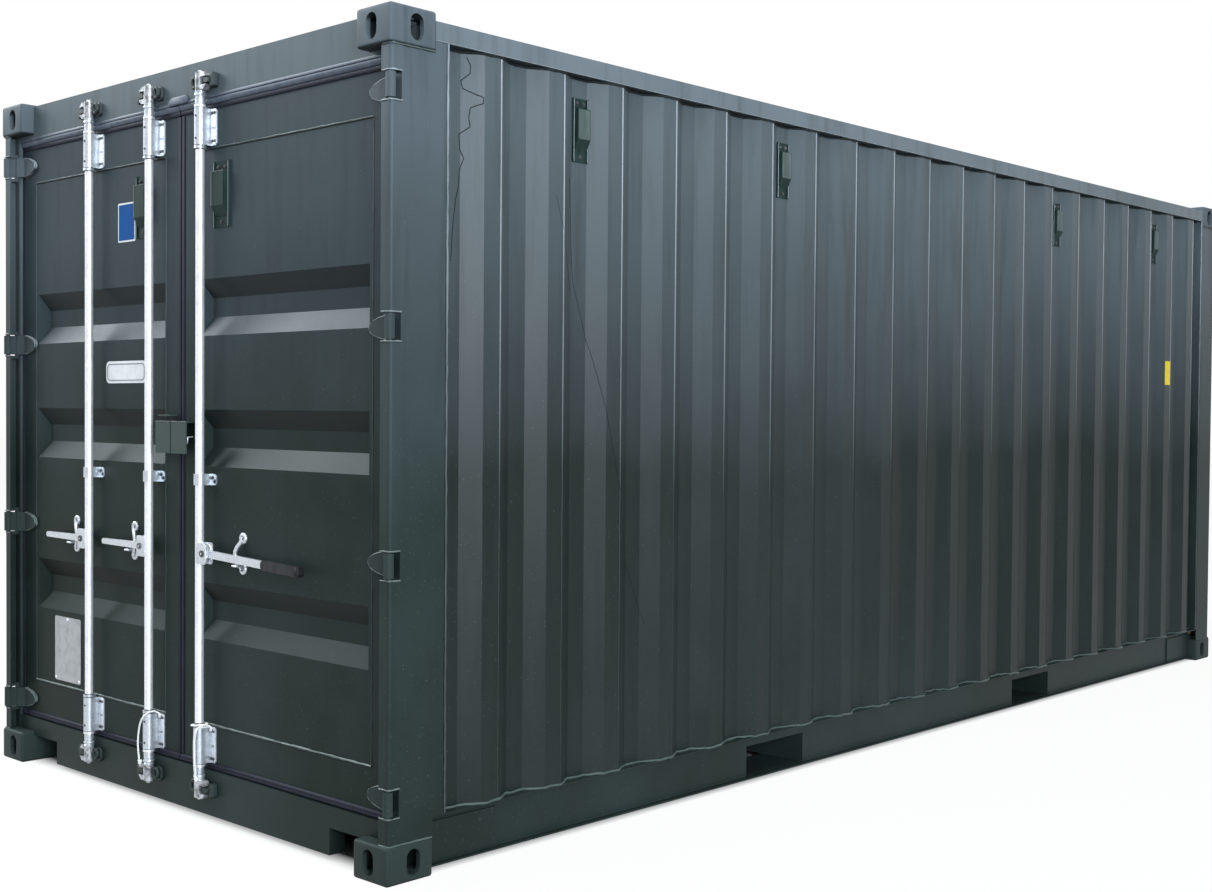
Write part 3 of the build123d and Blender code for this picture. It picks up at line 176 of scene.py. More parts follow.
def node(tree, kind, **settings):
    """Add a node, set its attributes, and set or link the inputs given by name or number."""
    made = tree.nodes.new(kind)
    inputs = settings.pop("inputs", {})
    for key, value in settings.items():
        setattr(made, key, value)
    for key, value in inputs.items():
        if isinstance(value, bpy.types.NodeSocket):
            tree.links.new(value, made.inputs[key])
        else:
            made.inputs[key].default_value = value
    return made


def calc(tree, operation, *inputs):
    """The result of one sum on sockets and plain numbers."""
    return node(tree, "ShaderNodeMath", operation=operation, inputs=dict(enumerate(inputs))).outputs[0]


def point_parts(tree):
    """How far across, along and up the shaded point is, in metres."""
    place = node(tree, "ShaderNodeTexCoord")
    return node(tree, "ShaderNodeSeparateXYZ", inputs={0: place.outputs["Object"]}).outputs


def sees_backdrop(tree):
    """1 for the rays that should meet a white backdrop: camera, glossy and transmission rays."""
    path = node(tree, "ShaderNodeLightPath").outputs
    both = calc(tree, "MAXIMUM", path["Is Camera Ray"], path["Is Glossy Ray"])
    return calc(tree, "MAXIMUM", both, path["Is Transmission Ray"])


def object_point(tree, scale=(1, 1, 1)):
    """Object coordinates, stretched by a mapping node."""
    place = node(tree, "ShaderNodeTexCoord")
    mapped = node(tree, "ShaderNodeMapping", inputs={"Vector": place.outputs["Object"], "Scale": scale})
    return mapped.outputs[0]


def noise(tree, point, scale, detail=4.0, roughness=0.55):
    """A noise value between 0 and 1."""
    inputs = {"Vector": point, "Scale": scale, "Detail": detail, "Roughness": roughness}
    return node(tree, "ShaderNodeTexNoise", inputs=inputs).outputs["Fac"]


def ramp(tree, value, low, high, start=0.0, end=1.0):
    """Stretch a value between two limits and clamp it."""
    inputs = {"Value": value, "From Min": low, "From Max": high, "To Min": start, "To Max": end}
    return node(tree, "ShaderNodeMapRange", inputs=inputs).outputs[0]


def mix_colour(tree, factor, first, second, blend="MIX"):
    """Mix two colours, each a socket or a plain RGB."""
    first, second = [(*value, 1) if isinstance(value, tuple) else value for value in (first, second)]
    return node(tree, "ShaderNodeMix", data_type="RGBA", blend_type=blend, clamp_factor=True,
                inputs={0: factor, 6: first, 7: second}).outputs[2]


def shade(tree, colour, roughness, height, strength, distance, **uniform):
    """Close a material with a principled shader, a bump and the shader's own plain values."""
    bump = node(tree, "ShaderNodeBump",
                inputs={"Strength": strength, "Distance": distance, "Height": height})
    shader = node(tree, "ShaderNodeBsdfPrincipled",
                  inputs={"Base Color": colour, "Roughness": roughness, "Normal": bump.outputs[0]})
    for name, value in uniform.items():
        shader.inputs[name.replace("_", " ")].default_value = value
    node(tree, "ShaderNodeOutputMaterial", inputs={"Surface": shader.outputs[0]})


# What lies on the paint everywhere: dust, damp runs and pale specks; and painted shade, near black, on
# faces that look down, under rails and folds
DUST = (0.046, 0.066, 0.07)
DAMP = (0.016, 0.024, 0.021)
SPECK = (0.15, 0.17, 0.17)
PAINTED_UNDERSIDE_SHADE = (0.004, 0.006, 0.005)


def painted_steel(name, low, high, roughness=0.4, peel=0.12, dust=0.35, gloss=0.16, sky=None,
                  rise=(1.35, 2.55)):
    """Satin container paint: darker below and lighter above as painted light from the sky, a painted
    sky reflection at the top if a sky tone is given, dust, runs, specks, painted shade on faces that
    look down, and orange peel.
    """
    material, tree = new_material(name)
    point = object_point(tree)
    cloud = noise(tree, point, 1.3, 5.0)
    runs = noise(tree, object_point(tree, (7, 7, 0.6)), 3.0, 6.0)
    specks = noise(tree, point, 170.0, 2.0)
    # Painted light: the colour goes from low to high between the heights in rise, as if the top were
    # lit by the sky and the foot shaded; the sky tone lightens the very top as a painted reflection
    painted_light_height = calc(tree, "MULTIPLY_ADD", cloud, 0.5, point_parts(tree)[2])
    colour = mix_colour(tree, ramp(tree, painted_light_height, *rise), low, high)
    if sky:
        colour = mix_colour(tree, ramp(tree, painted_light_height, 2.2, 2.85), colour, sky)
    colour = mix_colour(tree, ramp(tree, cloud, 0.42, 0.72, 0.0, dust), colour, DUST)
    colour = mix_colour(tree, ramp(tree, runs, 0.5, 0.76, 0.0, 0.4), colour, DAMP)
    colour = mix_colour(tree, ramp(tree, specks, 0.7, 0.74, 0.0, 0.45), colour, SPECK)
    # Painted shade: the more a face looks down, the nearer it is darkened to near black
    faces = node(tree, "ShaderNodeNewGeometry")
    tilt = node(tree, "ShaderNodeSeparateXYZ", inputs={0: faces.outputs["Normal"]})
    colour = mix_colour(tree, ramp(tree, tilt.outputs[2], -0.12, -0.6, 0.0, 0.85), colour, PAINTED_UNDERSIDE_SHADE)
    shine = ramp(tree, cloud, 0.3, 0.75, roughness - 0.06, roughness + 0.1)
    bumps = noise(tree, point, 420.0, 2.0)
    ripples = noise(tree, point, 4.0, 3.0)
    relief = calc(tree, "MULTIPLY_ADD", ripples, 9.0, bumps)
    shade(tree, colour, shine, relief, peel, 0.001, Specular_IOR_Level=gloss)
    return material


def galvanised_steel(name, pale, dark, ends=None, metallic=0.6):
    """Hot-dip zinc: bright flecked grains and duller patches, with grimy forged ends on the rods."""
    material, tree = new_material(name)
    point = object_point(tree)
    grains = node(tree, "ShaderNodeTexVoronoi", inputs={"Vector": point, "Scale": 240.0})
    dull = noise(tree, point, 14.0, 5.0)
    grain = node(tree, "ShaderNodeSeparateColor", inputs={0: grains.outputs["Color"]})
    colour = mix_colour(tree, grain.outputs[0], dark, pale)
    colour = mix_colour(tree, ramp(tree, dull, 0.5, 0.75, 0.0, 0.35), colour, (0.42, 0.44, 0.47))
    if ends:
        height = point_parts(tree)[2]
        end = calc(tree, "MAXIMUM", ramp(tree, height, 0.18, 0.17), ramp(tree, height, 2.43, 2.44))
        grime = noise(tree, point, 60.0, 4.0)
        forged = mix_colour(tree, ramp(tree, grime, 0.4, 0.65), ends, (0.12, 0.125, 0.13))
        colour = mix_colour(tree, end, colour, forged)
    shine = ramp(tree, grain.outputs[1], 0.0, 1.0, 0.28, 0.4)
    shade(tree, colour, shine, noise(tree, point, 260.0, 3.0), 0.1, 0.0004, Metallic=metallic)
    return material


def rubber(name, dark, pale, roughness, gloss=0.2):
    """Rubber or moulded plastic with a pale bloom and a fine grain."""
    material, tree = new_material(name)
    bloom = noise(tree, object_point(tree, (6, 6, 1)), 8.0, 5.0)
    grain = noise(tree, object_point(tree), 700.0, 2.0)
    colour = mix_colour(tree, ramp(tree, bloom, 0.4, 0.75), dark, pale)
    shine = ramp(tree, bloom, 0.3, 0.8, roughness, roughness + 0.15)
    shade(tree, colour, shine, grain, 0.3, 0.0004, Specular_IOR_Level=gloss)
    return material


def plywood():
    """Varnished plywood floor: long grain, darker runs and joints between the sheets."""
    material, tree = new_material("plywood_floor")
    grain = noise(tree, object_point(tree, (30, 1.5, 30)), 6.0, 8.0, 0.65)
    boards = node(tree, "ShaderNodeTexBrick", offset=0.5, inputs={
        "Vector": object_point(tree, (0.82, 0.41, 1)), "Scale": 1.0, "Mortar Size": 0.004,
        "Color1": (0.8, 0.8, 0.8, 1), "Color2": (1, 1, 1, 1), "Mortar": (0.1, 0.1, 0.1, 1)})
    colour = mix_colour(tree, grain, (0.17, 0.085, 0.04), (0.33, 0.19, 0.1))
    colour = mix_colour(tree, 1.0, colour, boards.outputs["Color"], "MULTIPLY")
    shade(tree, colour, ramp(tree, grain, 0, 1, 0.45, 0.6), grain, 0.3, 0.0006)
    return material


def printed_plate(name, face, stain, roughness=0.35, metallic=0.0):
    """A bare plate or sticker: one colour with faint stains and fine scratches."""
    material, tree = new_material(name)
    blots = noise(tree, object_point(tree), 30.0, 5.0)
    scratches = noise(tree, object_point(tree, (40, 40, 2)), 30.0, 4.0)
    colour = mix_colour(tree, ramp(tree, blots, 0.45, 0.75, 0.0, 0.6), face, stain)
    colour = mix_colour(tree, ramp(tree, scratches, 0.6, 0.7, 0.0, 0.25), colour, stain)
    shine = ramp(tree, blots, 0.3, 0.7, roughness, roughness + 0.2)
    shade(tree, colour, shine, scratches, 0.2, 0.0003, Metallic=metallic, Specular_IOR_Level=0.1)
    return material


def twisted_rope():
    """White twisted cord: slanting strands, with grey bands between them as painted shade in the
    grooves.
    """
    material, tree = new_material("white_rope")
    strands = node(tree, "ShaderNodeTexWave", wave_type="BANDS", bands_direction="DIAGONAL", inputs={
        "Vector": object_point(tree), "Scale": 95.0, "Distortion": 2.0, "Detail": 2.0})
    fuzz = noise(tree, object_point(tree), 900.0, 2.0)
    # Painted shade: the grey bands of the wave stand for the grooves between the strands
    colour = mix_colour(tree, strands.outputs["Fac"], (0.66, 0.66, 0.65), (0.95, 0.95, 0.93))
    colour = mix_colour(tree, ramp(tree, fuzz, 0.55, 0.7, 0.0, 0.3), colour, (0.66, 0.65, 0.62))
    shade(tree, colour, ramp(tree, fuzz, 0, 1, 0.7, 0.9), strands.outputs["Fac"], 0.6, 0.0008)
    return material


# Studio
SKY_COLOUR = (0.86, 0.95, 1.0, 1)
SKY_STRENGTH = 0.39
WHITE = (1, 1, 1, 1)
FLOOR_SIZE = 120
FLOOR_GREY = (0.4, 0.4, 0.4, 1)
FLOOR_GLOW = 1.1
FLOOR_GLOW_SHARE = 0.84
# How far from the middle the floor starts to glow, with none under the container
GLOW_BESIDE = (1.12, 1.2)
GLOW_BEHIND = (2.9, 3.0)
# Lamps: name, place, target, size in metres, watts and colour
LAMPS = (
    ("left_lamp", (-10.5, -7.0, 8.6), (-0.5, -3.0, 1.6), 6.0, 1680, (0.86, 0.94, 1.0)),
    ("right_lamp", (12.0, -6.8, 3.3), (1.2, 0.4, 1.5), 5.4, 1600, (0.84, 0.91, 1.0)),
    ("top_lamp", (2.5, -4.5, 10.0), (0.0, -0.8, 1.5), 6.0, 620, (1.0, 0.99, 0.97)),
    ("rear_lamp", (-7.0, 9.5, 6.0), (-0.8, 2.0, 1.4), 5.0, 420, (0.95, 0.98, 1.0)),
)


def studio_world():
    """A world that looks white and lights the object softly."""
    world = bpy.data.worlds.new("studio")
    bpy.context.scene.world = world
    world.use_nodes = True
    tree = world.node_tree
    tree.nodes.clear()
    soft = node(tree, "ShaderNodeBackground", inputs={"Color": SKY_COLOUR, "Strength": SKY_STRENGTH})
    white = node(tree, "ShaderNodeBackground", inputs={"Color": WHITE})
    mix = node(tree, "ShaderNodeMixShader",
               inputs={0: sees_backdrop(tree), 1: soft.outputs[0], 2: white.outputs[0]})
    node(tree, "ShaderNodeOutputWorld", inputs={"Surface": mix.outputs[0]})


def studio_floor():
    """A white floor that keeps the shadow of the container."""
    bpy.ops.mesh.primitive_plane_add(size=FLOOR_SIZE, location=(0, 0, 0))
    floor = bpy.context.object
    floor.name = "studio_floor"
    material, tree = new_material("studio_floor")
    across, along, _ = point_parts(tree)
    beside = ramp(tree, calc(tree, "ABSOLUTE", across), *GLOW_BESIDE)
    behind = ramp(tree, calc(tree, "ABSOLUTE", along), *GLOW_BEHIND)
    share = calc(tree, "MULTIPLY", calc(tree, "MAXIMUM", beside, behind), FLOOR_GLOW_SHARE)
    strength = calc(tree, "MULTIPLY", sees_backdrop(tree), share)
    matt = node(tree, "ShaderNodeBsdfDiffuse", inputs={"Color": FLOOR_GREY})
    glow = node(tree, "ShaderNodeEmission", inputs={"Color": WHITE, "Strength": FLOOR_GLOW})
    mix = node(tree, "ShaderNodeMixShader",
               inputs={0: strength, 1: matt.outputs[0], 2: glow.outputs[0]})
    node(tree, "ShaderNodeOutputMaterial", inputs={"Surface": mix.outputs[0]})
    floor.data.materials.append(material)


def studio_lamps():
    """Large soft lamps on the left, on the right, above the doors and behind."""
    for name, place, target, size, power, colour in LAMPS:
        data = bpy.data.lights.new(name, "AREA")
        data.shape = "SQUARE"
        data.size = size
        data.energy = power
        data.color = colour
        lamp = bpy.data.objects.new(name, data)
        aim = (Vector(target) - Vector(place)).to_track_quat("-Z", "Y")
        lamp.matrix_world = Matrix.Translation(place) @ aim.to_matrix().to_4x4()
        lamp.visible_camera = False
        link(lamp)


studio_world()
studio_floor()
studio_lamps()

# Finishes: the colour below and above, which paints light falling from above, roughness, orange peel,
# dust and gloss; a sky tone paints a reflection at the top
wall_paint = painted_steel(
    "painted_steel", (0.0075, 0.0133, 0.0125), (0.078, 0.1, 0.112), dust=0.16, gloss=0.18,
    rise=(1.42, 2.6))
door_paint = painted_steel(
    "painted_door", (0.010, 0.018, 0.0145), (0.04, 0.057, 0.066), gloss=0.07, sky=(0.025, 0.039, 0.047),
    rise=(1.4, 2.3))
frame_paint = painted_steel(
    "painted_frame", (0.012, 0.021, 0.018), (0.078, 0.099, 0.111), gloss=0.1, sky=(0.09, 0.115, 0.133))
box_paint = painted_steel("painted_box", (0.034, 0.056, 0.048), (0.05, 0.07, 0.07), 0.42)
casting_paint = painted_steel(
    "painted_casting", (0.022, 0.034, 0.031), (0.055, 0.072, 0.08), 0.5, 0.5, gloss=0.1,
    sky=(0.1, 0.125, 0.145))
forging_paint = painted_steel(
    "painted_forging", (0.016, 0.026, 0.023), (0.04, 0.052, 0.055), 0.45, 0.5, gloss=0.2)
# Painted highlight: a paint that is pale above, for the lines along the rail edges and the wall ends
edge_highlight_paint = painted_steel("painted_edge_highlight", (0.045, 0.062, 0.058), (0.24, 0.28, 0.3), 0.34, 0.3, 0.1)
foot_paint = painted_steel(
    "painted_foot_bead", (0.075, 0.105, 0.095), (0.1, 0.13, 0.12), 0.36, 0.3, 0.6)
# Painted highlight: a paint that is pale above, for the beads on the folds of the walls
fold_highlight_paint = painted_steel("painted_fold_highlight", (0.016, 0.028, 0.024), (0.33, 0.38, 0.41), 0.34, 0.3, 0.0)
# Painted highlight: a pale paint for beads that stand for light caught on edges
highlight_bead_paint = painted_steel("painted_highlight_bead", (0.12, 0.15, 0.14), (0.26, 0.3, 0.32), 0.34, 0.3, 0.1)
base_paint = painted_steel("painted_underframe", (0.014, 0.022, 0.019), (0.04, 0.05, 0.05), 0.5, 0.3)
weld_paint = painted_steel("painted_weld", (0.035, 0.05, 0.05), (0.09, 0.115, 0.12), 0.32, 0.8)
# Near black paint for scratches, the dark seam line, and the sealant bead under the top rails made dark
# as the rails' painted shadow
scratch_and_shadow_paint = painted_steel("scratch_marks_and_painted_shadow", (0.008, 0.012, 0.011), (0.012, 0.015, 0.016), 0.6)
zinc = galvanised_steel("galvanised_steel", (0.86, 0.88, 0.92), (0.72, 0.74, 0.78), (0.5, 0.52, 0.55))
handle_zinc = galvanised_steel("galvanised_handle", (0.66, 0.69, 0.73), (0.5, 0.53, 0.57), None, 0.7)
bracket_zinc = galvanised_steel("galvanised_bracket", (0.6, 0.65, 0.7), (0.46, 0.5, 0.55), None, 0.75)
# Painted shade: a near black zinc for bolts, holes, gaps between rings, washers and rivets
shadow_dark_zinc = galvanised_steel("shadowed_bolt", (0.05, 0.055, 0.06), (0.02, 0.022, 0.025), None, 0.2)
seal_rubber = rubber("rubber_seal", (0.008, 0.009, 0.017), (0.018, 0.021, 0.036), 0.5, 0.12)
# Painted reflection: a pale bluish copy of the dark seal rubber, for the sky seen in the gasket's top
sky_lit_rubber = rubber("rubber_painted_sky_sheen", (0.075, 0.095, 0.125), (0.125, 0.15, 0.19), 0.4)
# Painted light: the top side rails take a lighter copy of the container paint, as if lit from above
lit_rail_paint = painted_steel("painted_rail_lit", (0.06, 0.075, 0.08), (0.135, 0.165, 0.185), 0.34)
grip_rubber = rubber("black_rubber", (0.010, 0.010, 0.012), (0.028, 0.028, 0.032), 0.3)
vent_plastic = rubber("dark_plastic", (0.011, 0.025, 0.022), (0.024, 0.043, 0.041), 0.5, 0.12)
# Painted light: pale plates on the vent fronts, as the sky light on faces that look out
sky_lit_vent_face = rubber("sky_lit_vent_face", (0.06, 0.085, 0.08), (0.12, 0.15, 0.145), 0.4)
floor_wood = plywood()
silver_plate = printed_plate("silver_plate", (0.42, 0.43, 0.44), (0.25, 0.26, 0.27), 0.35, 0.4)
white_plate = printed_plate("white_plate", (0.8, 0.81, 0.82), (0.6, 0.61, 0.6))
grey_line = printed_plate("plate_border", (0.09, 0.1, 0.11), (0.2, 0.2, 0.2))
blue_label = printed_plate("blue_label", (0.004, 0.07, 0.26), (0.012, 0.1, 0.3), 0.6)
yellow_label = printed_plate("yellow_label", (0.78, 0.62, 0.03), (0.6, 0.5, 0.1))
rope_white = twisted_rope()

node_finishes = (
    (wall_paint, ("left_side_wall", "right_side_wall", "front_wall", "roof")),
    (door_paint, ("left_door_panel", "right_door_panel", "left_door_frame", "right_door_frame")),
    (box_paint, ("left_lock_box", "right_lock_box")),
    (frame_paint, ("door_posts", "front_posts", "door_header", "door_sill", "front_top_rail",
                   "front_bottom_rail", "bottom_side_rails")),
    (lit_rail_paint, ("top_side_rails",)),
    (casting_paint, ("hinge_pins", "left_door_hinges", "right_door_hinges")),
    (base_paint, ("cross_members", "fork_pockets")),
    (floor_wood, ("floor",)),
    (vent_plastic, ("side_vents", "left_door_vent", "right_door_vent")),
    (seal_rubber, ("left_door_gasket", "right_door_gasket")),
    (grip_rubber, ("right_handle_grip",)),
    (zinc, ("left_outer_rod", "left_inner_rod", "right_rod")),
    (handle_zinc, ("left_outer_handle", "left_inner_handle", "right_handle")),
    (bracket_zinc, ("left_rod_brackets", "right_rod_brackets")),
)


def dress(item, material):
    """Give a piece its finish."""
    item.data.materials.clear()
    item.data.materials.append(material)


for material, names in node_finishes:
    for name in names:
        dress(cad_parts[name], material)


def angles(count):
    """Angles that go once round, in radians."""
    return [2 * math.pi * n / count for n in range(count)]


def pick(*items):
    """Select these pieces only, with the first one active, or nothing."""
    bpy.ops.object.select_all(action="DESELECT")
    for item in items:
        item.select_set(True)
    if items:
        bpy.context.view_layer.objects.active = items[0]


def mode(name):
    """Switch to edit or object mode."""
    bpy.ops.object.mode_set(mode=name)


def turn_outwards():
    """In edit mode, select the whole mesh and turn its faces outwards."""
    bpy.ops.mesh.select_all(action="SELECT")
    bpy.ops.mesh.normals_make_consistent(inside=False)


def single_point(place):
    """Start a mesh as one point: a small plane merged at its centre. Ends in edit mode."""
    pick()
    bpy.ops.mesh.primitive_plane_add(size=0.01, location=(0, 0, 0))
    mode("EDIT")
    bpy.ops.mesh.merge(type="CENTER")
    bpy.ops.transform.translate(value=place)
    return bpy.context.object


def extrude(step):
    """Extrude the selection by a step."""
    bpy.ops.mesh.extrude_region_move(TRANSFORM_OT_translate={"value": step})


def draw_on(points):
    """Extrude the selected point along a line of places."""
    for start, end in zip(points, points[1:]):
        extrude(Vector(end) - Vector(start))


def lathe(profile, steps=24):
    """A turned piece about Z from (radius, height) points in millimetres."""
    points = [Vector((radius * MM, 0, height * MM)) for radius, height in profile]
    item = single_point(points[0])
    draw_on(points)
    bpy.ops.mesh.select_all(action="SELECT")
    bpy.ops.mesh.spin(steps=steps, angle=2 * math.pi, center=(0, 0, 0), axis=(0, 0, 1))
    bpy.ops.mesh.select_all(action="SELECT")
    bpy.ops.mesh.remove_doubles(threshold=0.00002)
    turn_outwards()
    mode("OBJECT")
    return item


def slab(outline, depth, along=(0, 0, 1), edge=0.0):
    """A closed outline of places in metres, filled and extruded along a direction by millimetres."""
    item = single_point(outline[0])
    draw_on(outline)
    bpy.ops.mesh.select_all(action="SELECT")
    bpy.ops.mesh.edge_face_add()
    extrude(Vector(along) * depth * MM)
    turn_outwards()
    if edge:
        bpy.ops.mesh.bevel(offset=edge * MM, segments=2, affect="EDGES")
    mode("OBJECT")
    return item


def rounded(width, height, radius, across=0.0, up=0.0, steps=5):
    """The outline of a rounded rectangle in millimetres, facing the doors."""
    outline = []
    for side, level, start in ((1, 1, 0), (-1, 1, 90), (-1, -1, 180), (1, -1, 270)):
        for n in range(steps + 1):
            angle = math.radians(start + 90 * n / steps)
            outline.append(Vector((
                (across + side * (width / 2 - radius) + radius * math.cos(angle)) * MM,
                0,
                (up + level * (height / 2 - radius) + radius * math.sin(angle)) * MM,
            )))
    return outline


def finish(item, name, body, material, smooth=35):
    """Name a piece, dress it, smooth its curved faces and put it on its body."""
    item.name = name
    dress(item, material)
    pick(item)
    bpy.ops.object.shade_smooth_by_angle(angle=math.radians(smooth))
    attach(item, body)
    return item


def joined(items):
    """Join pieces into one."""
    pick(*items)
    if len(items) > 1:
        bpy.ops.object.join()
    return items[0]


def copies(template, places):
    """Copy a template to every place, each copy with its own mesh, and join the copies."""
    made = []
    for place in places:
        item = template.copy()
        item.data = template.data.copy()
        item.data.transform(place)
        link(item)
        made.append(item)
    return joined(made)


def drop(*templates):
    """Remove finished templates."""
    for template in templates:
        bpy.data.objects.remove(template, do_unlink=True)


def facing_out(across, inward, up, turn=0.0):
    """Stand a piece made on Z = 0 on a face that looks out of the door end."""
    return moved(across, inward, up) @ turned(turn, "Y") @ turned(90, "X")


def facing_side(hand, across, inward, up):
    """Stand a piece made on Z = 0 on a face that looks out of a side wall."""
    return moved(across, inward, up) @ turned(90 * hand, "Y")


def round_line(name, kind, points, radius, bevel):
    """A round curve along places in metres, and its spline."""
    line = bpy.data.curves.new(name, "CURVE")
    line.dimensions = "3D"
    line.bevel_depth = radius * MM
    line.bevel_resolution = bevel
    line.use_fill_caps = True
    spline = line.splines.new(kind)
    spline.points.add(len(points) - 1)
    for n, place in enumerate(points):
        spline.points[n].co = (*place, 1)
    item = bpy.data.objects.new(name, line)
    link(item)
    return item, spline


def tube(points, radius, bevel=1, widths=None, closed=False):
    """A round bead along a line of places, made a mesh."""
    item, spline = round_line("bead", "POLY", points, radius, bevel)
    for n, width in enumerate(widths or ()):
        spline.points[n].radius = width
    spline.use_cyclic_u = closed
    pick(item)
    bpy.ops.object.convert(target="MESH")
    return bpy.context.object


def weld(points, radius, step=14.0, wander=0.6):
    """A hand-laid weld bead along a line: lumpy in width and slightly wavy."""
    places, widths = [], []
    for start, end in zip(points, points[1:]):
        start, end = Vector(start), Vector(end)
        count = max(1, round((end - start).length / (step * MM)))
        for n in range(count):
            drift = Vector([random.uniform(-wander, wander) * MM for _ in range(3)])
            places.append(start.lerp(end, n / count) + drift)
            widths.append(random.uniform(0.8, 1.25))
    places.append(Vector(points[-1]))
    widths.append(1.0)
    return tube(places, radius, 1, widths)


random.seed(7)

# Small hardware, modelled once
rivet = lathe(((0, 0), (8, 0), (7.6, 2.0), (6, 3.6), (3.2, 4.6), (0, 5.0)), 16)
bolt = lathe(((0, 0), (7.5, 0), (7.5, 1.2), (5.2, 1.4), (5.2, 4.4), (4.4, 5.2), (0, 5.4)), 6)
hole = lathe(((0, 0), (4.2, 0), (4.2, 1.6), (3.2, 2.2), (2.6, 1.2), (0, 1.0)), 12)
boss = lathe(((0, 0), (19, 0), (19, 5), (17, 7.5), (11, 8.6), (9.6, 7.6), (8.6, 7.4), (0, 7.4)), 32)
gap_ring = lathe(((15.2, 0), (17.0, 0), (17.0, 2.4), (15.2, 2.4), (15.2, 0)), 32)
neck = lathe((
    (15.1, 0), (18.2, 0), (18.8, 2.5), (17.2, 4), (17.2, 24), (15.9, 25), (15.9, 28), (19, 29.5),
    (20.2, 33), (19, 36.5), (16.2, 38), (16.2, 41), (18.4, 43), (18.4, 46), (15.1, 46), (15.1, 0)), 32)
pin_end = lathe(((0, 0), (9, 0), (9, 3), (8, 6), (5, 8.4), (0, 9.4)), 20)
collar_lip = lathe(((15.2, 0), (20.8, 0), (21.6, 1.6), (20.8, 3.2), (15.2, 3.2), (15.2, 0)), 32)


# Bracket bolts beside the rod, and the drain holes in the round housing: its radius and their turn
BOLT_SIDES = (29.0, 42.0, -29.0, -42.0)
HOUSING_RADIUS = 19.6
HOLE_TURN = 12


def bracket_details():
    """Bolts and holes darkened as painted shade, and raised pads in the bright zinc as a painted
    highlight, on the bearing brackets of both leaves.
    """
    for body, _ in LEAVES:
        bolts, holes, pads = [], [], []
        for x in [x for _, x, _, carrier in RODS if carrier == body]:
            for low in END_BEARINGS:
                high = low + END_BEARING_HEIGHT
                for side in BOLT_SIDES:
                    bolts += [facing_out(x + side, BRACKET_FACE, low + 15, 20),
                              facing_out(x + side, BRACKET_FACE, high - 15, 50)]
                holes += [facing_out(x + side, BRACKET_FACE, (low + high) / 2 - 4) for side in (31, 40)]
                holes += [moved(x, ROD_DEPTH, up) @ turned(HOLE_TURN, "Z")
                          @ Matrix.Translation((0, -HOUSING_RADIUS * MM, 0)) @ turned(90, "X")
                          for up in (low + 22, high - 28)]
            for side in BOLT_SIDES:
                up = MIDDLE_BEARING + (6 if abs(side) < 35 else -6)
                bolts.append(facing_out(x + side, BRACKET_FACE, up, 35))
            pads += [moved(x + side, 60.6, low + END_BEARING_HEIGHT / 2)
                     for side in (-38.5, 38.5) for low in END_BEARINGS]
        # Painted highlight: raised pads on the outer flanges in the bright zinc, lighter than the
        # bracket
        pad = slab(rounded(21, END_BEARING_HEIGHT - 6, 6), 1.6, (0, 1, 0), 0.5)
        # Painted shade: the bolts and the holes take the near black zinc
        for template, piece, metal, places in (
            (bolt, "bolts", shadow_dark_zinc, bolts), (hole, "holes", shadow_dark_zinc, holes),
            (pad, "pads", zinc, pads),
        ):
            finish(copies(template, places), f"{body}_bracket_{piece}", body, metal)
        drop(pad)


def rod_details():
    """Necks, rings, gaps darkened as painted shade and cam pins of the lock rods, and the forks that
    hold the handles.
    """
    cheek = slab(rounded(58, 74, 11), FORK_CHEEK, (0, 1, 0), 1.4)
    low, high = END_BEARINGS
    low_top, high_top = low + END_BEARING_HEIGHT, high + END_BEARING_HEIGHT
    rings = (high - 6.5, high - 11.5, low_top + 3.2, low_top + 8.2)
    gaps = (high - 2.6, high - 14, high_top + 0.2, low_top + 0.2, low_top + 12, low - 2.6)
    for name, x, hand, _ in RODS:
        pivot = x + hand * HANDLE_PIVOT
        heads = [facing_out(pivot, FORK_FRONT, HANDLE_HEIGHT),
                 moved(pivot, FORK_BACK, HANDLE_HEIGHT) @ turned(-90, "X")]
        for template, piece, metal, places in (
            (cheek, "handle_cheeks", handle_zinc,
             [moved(x + hand * 31, inward, HANDLE_HEIGHT)
              for inward in (FORK_FRONT, FORK_BACK - FORK_CHEEK)]),
            (neck, "rod_necks", bracket_zinc,
             [moved(x, ROD_DEPTH, high_top + COLLAR_END),
              moved(x, ROD_DEPTH, low - COLLAR_END) @ turned(180, "X")]),
            (collar_lip, "rod_rings", bracket_zinc, [moved(x, ROD_DEPTH, up) for up in rings]),
            # Painted shade: the gaps between the rings are dark
            (gap_ring, "rod_gaps", shadow_dark_zinc, [moved(x, ROD_DEPTH, up) for up in gaps]),
            (pin_end, "cam_pins", zinc,
             [moved(x, ROD_DEPTH, TOP_CAM + CAM_HALF),
              moved(x, ROD_DEPTH, BOTTOM_CAM - CAM_HALF) @ turned(180, "X")]),
            (rivet, "fork_rivets", zinc, heads),
            # Painted shade: dark washers under the fork rivets
            (boss, "fork_washers", shadow_dark_zinc, [place @ Matrix.Scale(0.62, 4) for place in heads]),
        ):
            finish(copies(template, places), f"{name}_{piece}", f"{name}_lock_rod", metal)
    drop(cheek)


# Catches: leaf, hand, each one's place across and droop, and the node that they stand for. The strap
# of each runs from its upper lobe past the back of the bar to its lower lobe
CATCHES = (
    ("left_door", -1, ((-732.0, 0.0), (-308.0, 0.0)), "left_handle_catches"),
    ("right_door", 1, ((382.0, 7.3),), "right_handle_catch"),
)
CATCH_STRAP = (
    (0, 58, 978), (0, 57, 968), (-7, 54, 956), (-17, 50, 944), (-24, 48, 930), (-26, 47.5, 914),
    (-23, 48, 900), (-15, 52, 888), (-5, 56, 878), (0, 58, 870))
CATCH_LEDGE = ((64, 0), (29, 0), (25.5, 2), (25, 5), (27, 8), (64, 8))
LEDGE_WIDTH = 26


